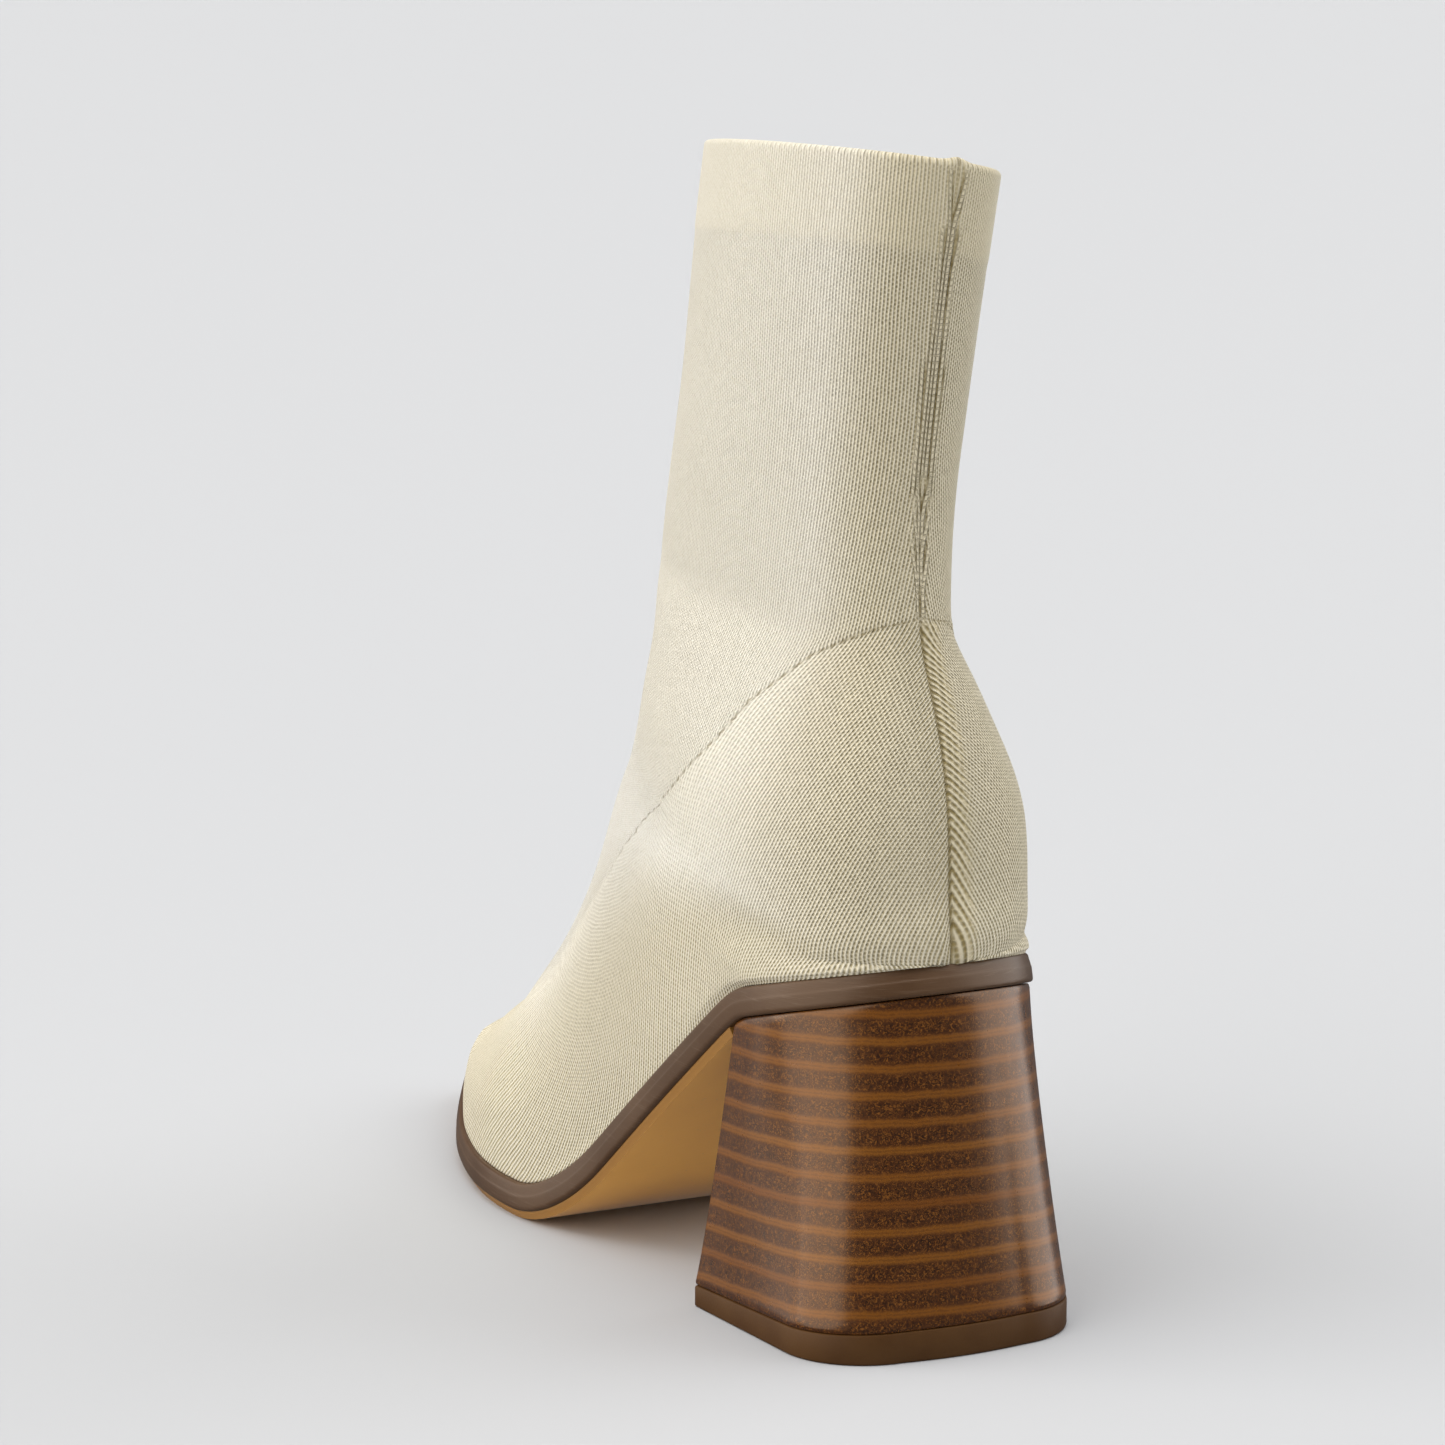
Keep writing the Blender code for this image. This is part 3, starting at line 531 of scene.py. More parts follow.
def upper_table():
    """Every section in millimetres: top x, z, seam x, z, outer y, inner y, centre y and shape values."""
    foot = feather(0.0, UPPER_INSET)[0]
    tip = feather(1.0, UPPER_INSET)[0]
    rise = COLLAR_HEIGHT - ANKLE_HEIGHT
    ankle_back = ANKLE_HEIGHT + SHAFT[-1][2] * rise
    top, seam, shape = [], [], []
    for _, front, back, centre, depth, width, lean in SHAFT:
        middle = ANKLE_CENTRE + (COLLAR_CENTRE - ANKLE_CENTRE) * centre
        deep = ANKLE_DEPTH + (COLLAR_DEPTH - ANKLE_DEPTH) * depth
        wide = (ANKLE_WIDTH + (COLLAR_WIDTH - ANKLE_WIDTH) * width) / 2.0
        y = COLLAR_LEAN * lean
        top.append((middle + deep / 2.0, ANKLE_HEIGHT + rise * front))
        seam.append((middle - deep / 2.0, ANKLE_HEIGHT + rise * back))
        shape.append((y + wide, y - wide, y, 0.5, 2.0, 2.0))
    for _, along, up, into, seam_up, outer, inner, widest, square, low in HEEL:
        top.append((SEAT_BACK + along * SOLE_LENGTH, up * INSTEP_HEIGHT))
        seam.append((foot[0] + into * HEEL_CURVE, foot[2] + seam_up * (ankle_back - foot[2])))
        shape.append((outer * COUNTER_WIDTH, -inner * COUNTER_WIDTH, 0.0, widest, square, low))
    for _, along, up, swing, _, width, outer, inner, widest, square, low in FOOT:
        top.append((SEAT_BACK + along * SOLE_LENGTH, up * INSTEP_HEIGHT))
        shape.append((outer * width, -inner * width, -swing * FOREFOOT_SWING, widest, square, low))
    top.append((tip[0], tip[2]))
    shape.append((tip[1], tip[1], tip[1], 0.7, 2.2, 2.0))
    return np.array(top), np.array(seam), np.array(shape)


def section_curve(k, side, table, samples=90):
    """One half section (side 0 outer, 1 inner) from the top line to its end, as points."""
    top, seam, shape = table
    rows = np.arange(len(top))
    t = np.array([spline(rows, top[:, 0], k), spline(rows, top[:, 1], k)])
    values = [float(spline(rows, shape[:, c], k)) for c in range(shape.shape[1])]
    wide, centre, widest, square, low = values[side], values[2], values[3], values[4], values[5]
    if k <= SEAM_ROW:
        seam_rows = rows[: len(seam)]
        end = np.array([spline(seam_rows, seam[:, 0], k), centre, spline(seam_rows, seam[:, 1], k)])
    else:
        end = feather(edge_share(k), UPPER_INSET)[side]
    sign = 1.0 if side == 0 else -1.0
    wide = sign * max(sign * wide, sign * end[1] + 0.2 * (TOE_ROW - k) / TOE_ROW, sign * centre)
    turn = np.linspace(0.0, np.pi / 2.0, samples)
    upper_c = widest * (1.0 - np.cos(turn) ** (2.0 / square))
    upper_y = centre + (wide - centre) * np.sin(turn) ** (2.0 / square)
    share = np.clip((end[1] - centre) / (wide - centre) if abs(wide - centre) > 1e-6 else 0.0, 0.0, 0.999)
    stop = np.arccos(share ** (low / 2.0))
    turn = turn[1:] * stop / turn[-1]
    lower_c = widest + (1.0 - widest) * (np.sin(turn) / np.sin(stop)) ** (2.0 / low)
    lower_y = centre + (wide - centre) * np.cos(turn) ** (2.0 / low)
    lower_y += (end[1] - lower_y[-1]) * (turn / stop) ** 2
    c = np.concatenate([upper_c, lower_c])
    y = np.concatenate([upper_y, lower_y])
    x = t[0] + (end[0] - t[0]) * c
    z = t[1] + (end[2] - t[1]) * c
    tilt = np.clip(1.0 - k / 3.0, 0.0, 1.0) ** 2
    z = z + tilt * (COLLAR_RISE_OUTWARD * (y - centre) - COLLAR_FALL_FORWARD * (x - COLLAR_CENTRE))
    return np.stack([x, y, z], axis=-1)


def smooth(lo, hi, x):
    """0 below lo, 1 above hi, eased between."""
    t = np.clip((np.asarray(x, float) - lo) / (hi - lo), 0.0, 1.0)
    return t * t * (3.0 - 2.0 * t)


SIDE_COLUMNS = 84

# How high the upper's lower edge is filled out above the sole, and how often each shape is smoothed
FEATHER_REACH = 9.0
HEEL_REACH_MORE = 7.0
FEATHER_PASSES = 8
SEAT_PASSES = 30
WALE_PASSES = 500


def column_places(length):
    """Places along a half section from the top line, fine beside the back seam or the sole's edge."""
    fine = np.concatenate([np.arange(0.0, 6.01, 0.42), [6.9, 8.2, 9.8]])
    fine = fine * min(1.0, 0.35 * length / fine[-1])
    even = np.linspace(0.0, length - fine[-1], SIDE_COLUMNS - len(fine) + 2)[:-1]
    return np.concatenate([even, length - fine[::-1]])


def upper_row_values():
    """Row values of the fine mesh, about a millimetre apart on the shaft and heel."""
    shaft = np.linspace(0.0, 4.0, 84)
    heel = np.linspace(4.0, SEAM_ROW, 66)[1:]
    dense = np.linspace(SEAM_ROW, TOE_ROW, 300)
    at = np.linspace(0.0, 1.0, 120)[1:-1]
    at = at * 0.8 + 0.2 * (1.0 - np.cos(np.pi * at)) / 2.0
    foot = np.interp(at, [edge_share(k) for k in dense], dense)
    return np.concatenate([shaft, heel, foot, [TOE_ROW]])


def grid_normals(grid):
    """Outward normals of a grid of rows and columns, each the mean of the faces round its point."""
    face = np.cross(grid[:-1, 1:] - grid[1:, :-1], grid[1:, 1:] - grid[:-1, :-1])
    n = np.zeros_like(grid)
    for i in (0, 1):
        for j in (0, 1):
            n[i:i + len(face), j:j + face.shape[1]] += face
    size = np.linalg.norm(n, axis=2)
    size[size < 1e-9] = 1.0
    return n / size[:, :, None]


def running(values, axis):
    """Running distance along an axis of a grid of points, from its start."""
    step = np.linalg.norm(np.diff(values, axis=axis), axis=2)
    pad = [(0, 0), (0, 0)]
    pad[axis] = (1, 0)
    return np.cumsum(np.pad(step, pad), axis=axis)


def fill_feather(grid, side):
    """Moves what lies inside the upper's lower edge just above the sole out to that edge."""
    stations = np.linspace(0.0, 1.0, 500)
    edge = outline_sides(stations, UPPER_INSET)[side]
    sign = 1.0 if side == 0 else -1.0
    step = np.gradient(edge, axis=0)
    step /= np.linalg.norm(step, axis=1)[:, None]
    outward = sign * np.stack([-step[:, 1], step[:, 0]], axis=-1)
    bed, _ = sole_profile(grid[:, :, 0])
    lift = grid[:, :, 2] - bed - MIDSOLE_THICK
    out = grid.copy()
    reach = FEATHER_REACH + HEEL_REACH_MORE * (1.0 - smooth(30.0, 60.0, grid[:, :, 0]))
    reach = np.minimum(reach, 0.5 * np.maximum(lift[:, :1], 1.0))
    for i, j in zip(*np.nonzero(lift < reach)):
        gap = edge - grid[i, j, :2]
        near = int(np.argmin(np.sum(gap ** 2, axis=1)))
        depth = float(gap[near] @ outward[near])
        if depth > 0.0:
            share = 1.0 - smooth(0.28 * reach[i, j], reach[i, j], lift[i, j])
            out[i, j, :2] += outward[near] * depth * share
    move = out - grid
    for _ in range(FEATHER_PASSES):
        beside = move[:-2, 1:-1] + move[2:, 1:-1] + move[1:-1, :-2] + move[1:-1, 2:]
        move[1:-1, 1:-1] = move[1:-1, 1:-1] / 2.0 + beside / 8.0
    return grid + move


def half_grid(rows, side, table):
    """Points of one side of the upper, rows by columns from the top line to the seam or sole edge."""
    grid = np.zeros((len(rows), SIDE_COLUMNS + 1, 3))
    for i, k in enumerate(rows):
        curve = section_curve(k, side, table)
        step = np.linalg.norm(np.diff(curve, axis=0), axis=1)
        arc = np.concatenate([[0.0], np.cumsum(step)])
        if arc[-1] < 1e-6:
            grid[i] = curve[0]
            continue
        at = column_places(arc[-1])
        for c in range(3):
            grid[i, :, c] = np.interp(at, arc, curve[:, c])
    grid = fill_feather(grid, side)
    from_top = running(grid, 1)
    from_end = from_top[:, -1:] - from_top
    k = np.asarray(rows)[:, None]
    share = smooth(SEAM_ROW - 1.6, SEAM_ROW - 0.8, k) * (1.0 - smooth(SEAM_ROW + 1.2, SEAM_ROW + 2.2, k))
    share = (share * smooth(2.5, 12.0, from_end))[:, :, None]
    for _ in range(SEAT_PASSES):
        middle = grid.copy()
        middle[1:-1] = (grid[2:] + grid[:-2]) / 2.0
        grid = grid + 0.5 * share * (middle - grid)
    return grid


def knit_fields(rows, grid):
    """Knit coordinates of one side: shaft wale and course, heel wale and course, fold, seam, height."""
    from_top = running(grid, 1)
    length = from_top[:, -1:]
    from_seam = length - from_top
    down = running(grid, 0)
    shaft_wale = from_top / SHAFT_WALE
    shaft_course = (down[:, :1] * 0.5 + down * 0.5) / COURSE_PITCH
    widest = np.argmax(np.abs(grid[:, :, 1]), axis=1)
    flat = np.linalg.norm(np.diff(grid[:, :, :2], axis=1), axis=2)
    flat = np.concatenate([np.zeros((len(rows), 1)), np.cumsum(flat, axis=1)], axis=1)
    along = np.zeros(flat.shape)
    for i, w in enumerate(widest):
        rolled = grid[i, w, 0] + flat[i, w] - flat[i]
        rolled[:w] = grid[i, :w, 0]
        keep = smooth(SEAM_ROW - 0.5, SEAM_ROW + 2.0, rows[i])
        along[i] = rolled * (1.0 - keep) + grid[i, :, 0] * keep
    place = np.linspace(-70.0, 230.0, 601)
    angle = np.radians(np.interp(place, [w[0] for w in WALES], [w[1] for w in WALES]))
    pitch = np.interp(place, [w[0] for w in WALES], [w[2] for w in WALES])
    for _ in range(WALE_PASSES):
        angle[1:-1] = (angle[:-2] + 2.0 * angle[1:-1] + angle[2:]) / 4.0
        pitch[1:-1] = (pitch[:-2] + 2.0 * pitch[1:-1] + pitch[2:]) / 4.0
    step = place[1] - place[0]
    wale_run = np.cumsum(np.sin(angle) / pitch) * step
    course_run = np.cumsum(np.cos(angle) / COURSE_PITCH) * step
    bed, _ = sole_profile(along)
    lift = grid[:, :, 2] - bed
    heel_wale = np.interp(along, place, wale_run) + lift * np.interp(along, place, np.cos(angle) / pitch)
    slope_part = np.interp(along, place, np.sin(angle)) / COURSE_PITCH
    heel_course = lift * slope_part - np.interp(along, place, course_run)
    share = np.interp(rows, [f[0] for f in FOLD], [f[1] for f in FOLD])
    above = rows < FOLD[0][0]
    share[above] = 1.0 + 0.35 * (FOLD[0][0] - rows[above])
    field = from_top - share[:, None] * length
    gi = np.gradient(field, axis=0) / np.maximum(np.linalg.norm(np.gradient(grid, axis=0), axis=2), 1e-6)
    gj = np.gradient(field, axis=1) / np.maximum(np.linalg.norm(np.gradient(grid, axis=1), axis=2), 1e-6)
    fold = field / np.maximum(np.hypot(gi, gj), 0.4)
    return shaft_wale, shaft_course, heel_wale, heel_course, fold, from_seam, down


# How far the knit's worked details stand out or sink in
HEM_RAISE = 0.16
WELT_RAISE = 0.30
WELT_AWAY = 1.7
WELT_BEAD = 2.7
CHANNEL_DEPTH = 0.34
LOW_SEAM_RAISE = 0.14
LOW_SEAM_DEPTH = 0.42
FOLD_RAISE = 0.20
FOLD_DEPTH = 0.30
SWELL = 0.2
SEAT_BULGE = 1.0
SEAM_KNOT = 0.75
RIM_RISE = 1.05

# Rows of the upper between which the fold line fades out toward the toe
FOLD_FADE = (11.8, 13.4)


def ridge(away, width):
    """1 on a line, fading to 0 at about twice the width beside it."""
    return np.exp(-(away / width) ** 2)


def relief(rows, grid, fold, from_seam, down):
    """How far the upper's details stand out: hem, seams, fold line, soft swells and heel seat."""
    k = rows[:, None]
    hem = HEM_RAISE * (1.0 - smooth(HEM_HEIGHT - 1.5, HEM_HEIGHT + 1.5, down))
    on_shaft = 1.0 - smooth(ANKLE_ROW + 0.05, ANKLE_ROW + 0.35, k)
    below = smooth(ANKLE_ROW - 0.1, ANKLE_ROW + 0.3, k)
    below = below * (1.0 - smooth(SEAM_ROW + 0.2, SEAM_ROW + 0.6, k))
    beads = 0.8 + 0.2 * np.cos(2.0 * np.pi * down / WELT_BEAD)
    welt = WELT_RAISE * ridge(from_seam - WELT_AWAY, 0.8) * beads
    seam = on_shaft * (welt - CHANNEL_DEPTH * ridge(from_seam, 0.8))
    low_seam = LOW_SEAM_RAISE * ridge(from_seam - 1.6, 1.1) - LOW_SEAM_DEPTH * ridge(from_seam, 0.45)
    fade = smooth(ANKLE_ROW, ANKLE_ROW + 0.25, k) * (1.0 - smooth(*FOLD_FADE, k))
    line = fade * (FOLD_RAISE * ridge(fold + 0.9, 0.8) - FOLD_DEPTH * ridge(fold - 0.1, 0.42))
    x = grid[:, :, 0]
    z = grid[:, :, 2]
    swell = SWELL * np.sin(z / 17.0 + x / 31.0) * np.sin(x / 23.0 + 1.3)
    swell = swell * smooth(0.4, 2.0, k) * (1.0 - smooth(TOE_ROW - 3.0, TOE_ROW - 1.0, k))
    swell = swell * smooth(1.0, 8.0, from_seam)
    lift = z - sole_profile(x)[0] - MIDSOLE_THICK
    seat = SEAT_BULGE * ridge(lift - 5.0, 6.0) * (1.0 - smooth(5.0, 45.0, x)) * smooth(0.3, 2.5, from_seam)
    return hem + seam + below * low_seam + line + swell + seat


def whole(left, right):
    """Values of both sides of the upper as one grid, from the outer side's end round to the inner's."""
    return np.concatenate([left[:, ::-1], right[:, 1:]], axis=1)


def knit_wall(rows):
    """Outer and inner face of the knit as grids of points, their knit coordinates and the seam's rows."""
    table = upper_table()
    sides = [half_grid(rows, side, table) for side in (0, 1)]
    fields = [knit_fields(rows, grid) for grid in sides]
    raised = [relief(rows, grid, *field[4:]) for grid, field in zip(sides, fields)]
    base = whole(*sides)
    stand = whole(*raised)
    channels = [whole(left, right) for left, right in zip(*fields)]
    seam = int(np.sum(rows <= SEAM_ROW + 1e-9))
    normals = grid_normals(base)
    joined = normals[:seam, 0] + normals[:seam, -1]
    joined /= np.linalg.norm(joined, axis=1)[:, None]
    normals[:seam, 0] = joined
    normals[:seam, -1] = joined
    outer = base + normals * stand[:, :, None]
    inner = base - normals * KNIT_WALL
    knot = SEAM_KNOT * ridge(channels[5], 2.3) * np.exp(-channels[6] / 2.0)
    outer[:, :, 2] += knot
    inner[:, :, 2] += knot
    z, slope = sole_profile(inner[:, :, 0])
    bed = z + (MIDSOLE_THICK + 0.1) * np.sqrt(1.0 + slope ** 2)
    inner[:, :, 2] = np.maximum(inner[:, :, 2], bed)
    for i in range(seam - 1, len(rows)):
        inner[i, 0], inner[i, -1] = feather(edge_share(rows[i]), UPPER_INSET + KNIT_WALL)
    inner[-1, :] = inner[-1, 0]
    return outer, inner, channels, seam


def collar_rim(outer, inner):
    """Rows of points over the collar's edge, from the outer face to the inner one."""
    middle = (outer[0] + inner[0]) / 2.0
    half = (outer[0] - inner[0]) / 2.0
    up = np.array([-0.05, 0.0, 1.0])
    turns = np.linspace(0.0, np.pi, 9)[1:-1]
    return [middle + half * np.cos(turn) + up * RIM_RISE * np.sin(turn) for turn in turns]


def wall_faces(count, width, seam, levels):
    """Faces of the knit: its outer and inner grid, the collar's rim and the edge that stands on the sole."""

    def at(layer, i, j):
        if i == count - 1 or (i < seam and j == width - 1):
            j = 0
        return (layer * count + i) * width + j

    def rim_at(level, j):
        if j == width - 1:
            j = 0
        if level < 0:
            return at(0, 0, j)
        if level >= levels:
            return at(1, 0, j)
        return (2 * count + level) * width + j

    faces = []
    for layer in (0, 1):
        for i in range(count - 1):
            for j in range(width - 1):
                face = [at(layer, i, j), at(layer, i, j + 1), at(layer, i + 1, j + 1), at(layer, i + 1, j)]
                faces.append(face if layer == 0 else face[::-1])
    for level in range(-1, levels):
        for j in range(width - 1):
            first, second = rim_at(level, j + 1), rim_at(level, j)
            faces.append([first, second, rim_at(level + 1, j), rim_at(level + 1, j + 1)])
    for i in range(seam - 1, count - 1):
        for j in (0, width - 1):
            faces.append([at(0, i, j), at(0, i + 1, j), at(1, i + 1, j), at(1, i, j)])
    clean = [list(dict.fromkeys(face)) for face in faces]
    return [face for face in clean if len(face) > 2]


def make_upper():
    """The knitted upper as one hollow wall with its hem, back seam and fold line worked in."""
    rows = upper_row_values()
    outer, inner, channels, seam = knit_wall(rows)
    count, width, _ = outer.shape
    block = count * width
    rim = collar_rim(outer, inner)
    points = np.concatenate([layer.reshape(-1, 3) for layer in (outer, inner, *rim)])
    faces = wall_faces(count, width, seam, len(rim))
    used = np.unique(np.concatenate(faces))
    order = {v: n for n, v in enumerate(used)}
    mesh = new_mesh("knit_boot", points[used], [[order[v] for v in face] for face in faces])
    source = np.where(used < 2 * block, used % block, (used - 2 * block) % width)
    outside = (used < block) | (used >= 2 * block)
    values = [channel.reshape(-1)[source] for channel in channels]
    attributes = {
        "shaft_knit": (values[0], values[1], outside),
        "heel_knit": (values[2], values[3], np.repeat(rows, width)[source]),
        "marks": values[4:],
    }
    for name, columns in attributes.items():
        layer = mesh.attributes.new(name, "FLOAT_VECTOR", "POINT")
        layer.data.foreach_set("vector", np.stack(columns, axis=-1).astype(np.float32).ravel())
    turn_outward(mesh)
    return link("knit_boot", mesh)


class Wiring:
    """Short ways to add and join shader nodes of one material."""

    def __init__(self, name):
        self.material = bpy.data.materials.new(name)
        self.material.use_nodes = True
        self.tree = self.material.node_tree
        self.shader = self.tree.nodes["Principled BSDF"]

    def put(self, kind, inputs=None, **settings):
        node = self.tree.nodes.new(kind)
        for key, value in settings.items():
            setattr(node, key, value)
        for key, value in (inputs or {}).items():
            self.feed(node.inputs[key], value)
        return node

    def feed(self, socket, value):
        if isinstance(value, bpy.types.NodeSocket):
            self.tree.links.new(value, socket)
        else:
            socket.default_value = value

    def math(self, operation, a, b=0.0, c=0.0):
        return self.put("ShaderNodeMath", {0: a, 1: b, 2: c}, operation=operation).outputs[0]

    def times(self, value, *others):
        for other in others:
            value = self.math("MULTIPLY", value, other)
        return value

    def scaled(self, value, by, plus):
        return self.math("MULTIPLY_ADD", value, by, plus)

    def plus(self, a, b):
        return self.math("ADD", a, b)

    def minus(self, a, b):
        return self.math("SUBTRACT", a, b)

    def rest(self, share):
        """What a share leaves of the whole."""
        return self.minus(1.0, share)

    def wave(self, turns):
        """1 at each whole turn, 0 halfway between."""
        return self.scaled(self.math("COSINE", self.times(turns, 2.0 * math.pi)), 0.5, 0.5)

    def fall(self, value, low, high):
        """1 below low, 0 above high, eased between."""
        return self.ease(value, low, high, 1.0, 0.0)

    def ease(self, value, low, high, start=0.0, stop=1.0):
        node = self.put("ShaderNodeMapRange", {0: value, 1: low, 2: high, 3: start, 4: stop})
        node.interpolation_type = "SMOOTHSTEP"
        return node.outputs[0]

    def mix(self, share, a, b):
        node = self.put("ShaderNodeMix", data_type="RGBA")
        self.feed(node.inputs[0], share)
        self.feed(node.inputs[6], a)
        self.feed(node.inputs[7], b)
        return node.outputs[2]

    def noise(self, where, scale, detail=2.0, rough=0.5, twist=0.0):
        inputs = {"Vector": where, "Scale": scale, "Detail": detail, "Roughness": rough, "Distortion": twist}
        return self.put("ShaderNodeTexNoise", inputs).outputs["Fac"]

    def clouded(self, cloud, dark, light):
        """A colour that drifts between two with a noise."""
        return self.mix(self.ease(cloud, 0.3, 0.7), dark, light)

    def stretch(self, where, scale):
        return self.put("ShaderNodeMapping", {"Vector": where, "Scale": scale}).outputs[0]

    def attribute(self, name):
        return self.split(self.put("ShaderNodeAttribute", attribute_name=name).outputs["Vector"])

    def place(self):
        return self.put("ShaderNodeTexCoord").outputs["Object"]

    def split(self, vector):
        return self.put("ShaderNodeSeparateXYZ", {0: vector}).outputs

    def bump(self, height, distance, strength=1.0):
        inputs = {"Height": height, "Distance": distance, "Strength": strength}
        return self.put("ShaderNodeBump", inputs).outputs[0]

    def set(self, **values):
        for key, value in values.items():
            self.feed(self.shader.inputs[key.replace("_", " ")], value)


def colour(r, g, b):
    return (r, g, b, 1.0)


YARN_LIGHT = colour(0.890, 0.838, 0.715)
YARN_WARM = colour(0.900, 0.850, 0.730)
# Painted light: a paler yarn that brightens the foot and toe, where they are lit
YARN_PAINTED_LIGHT = colour(0.965, 0.940, 0.885)
# The yarn in shade: painted shade in grooves, on the back near the seam, in the seam's channel, on the inner
# side and inside the shaft; also a darker tone for random mottle and the hem
YARN_SHADE = colour(0.580, 0.475, 0.240)
# Painted shadow inside the knit's holes
HOLE_SHADOW = colour(0.130, 0.090, 0.020)
# Painted shadow in the gaps and twist notches of the back seam's strands, along the low seam, in the inner
# side's grooves and along the fold line
CREVICE_SHADOW = colour(0.205, 0.148, 0.045)


def knit_height(w, wale, course, ribby, faint):
    """Height, holes and grooves of a knitted face from its wale and course coordinates."""
    column = w.math("FLOOR", wale)
    rib = w.wave(w.minus(wale, column))
    odd = w.math("MODULO", w.math("ABSOLUTE", column), 2.0)
    loop = w.wave(w.scaled(odd, 0.5, course))
    groove = w.math("POWER", w.rest(rib), 1.5)
    hole = w.times(groove, w.math("POWER", loop, 0.55), faint)
    groove = w.times(groove, w.rest(w.times(w.rest(odd), w.times(ribby, 0.6))))
    height = w.minus(w.times(rib, 0.42), w.times(hole, 0.95))
    height = w.minus(height, w.times(groove, ribby, 0.42))
    return w.plus(height, w.times(loop, 0.08)), hole, groove


# Length of one turn of a plied strand
STRAND_TURN = 1.25

# Strands of the back seam: drops from the collar where one starts and stops running in,
# its distance from the seam before and after, and the drop where it ends
SEAM_STRANDS = [
    # start, stop, out, into, last
    (1.0, 13.0, 1.75, 0.42, 62.0),
    (11.5, 24.0, 1.95, 1.38, 66.0),
    (36.0, 56.0, 2.70, 2.20, 66.0),
    (57.0, 69.0, 1.80, 0.38, 75.0),
    (63.0, 77.0, 2.00, 0.38, 84.0),
    (69.0, 84.0, 2.20, 0.60, 89.0),
]


def seam_strand(w, seam, drop, start, stop, out, into, last):
    """Notches, side gaps, line and inner side of one strand that runs in toward the back seam."""
    away = w.minus(seam, w.ease(drop, start, stop, out, into))
    begun = w.ease(drop, start - 1.5, start + 0.5 + 0.12 * start)
    alive = w.times(begun, w.fall(drop, last - 3.0, last))
    near = w.math("ABSOLUTE", away)
    line = w.times(w.fall(near, 0.20, 0.40), alive)
    inner = w.times(w.fall(away, 0.25, 0.65), alive)
    gap = w.times(w.ease(near, 0.28, 0.42), w.fall(near, 0.60, 0.90), alive)
    turn = w.scaled(away, 0.45, w.plus(drop, start * 0.37))
    turn = w.math("SINE", w.times(turn, 2.0 * math.pi / STRAND_TURN))
    return w.times(w.fall(turn, -0.95, -0.25), line), gap, line, inner


def back_seam(w, seam, drop):
    """The same four values of all the strands together."""
    total = (0.0, 0.0, 0.0, 0.0)
    for place in SEAM_STRANDS:
        strand = seam_strand(w, seam, drop, *place)
        total = [w.math("MAXIMUM", a, b) for a, b in zip(total, strand)]
    return total


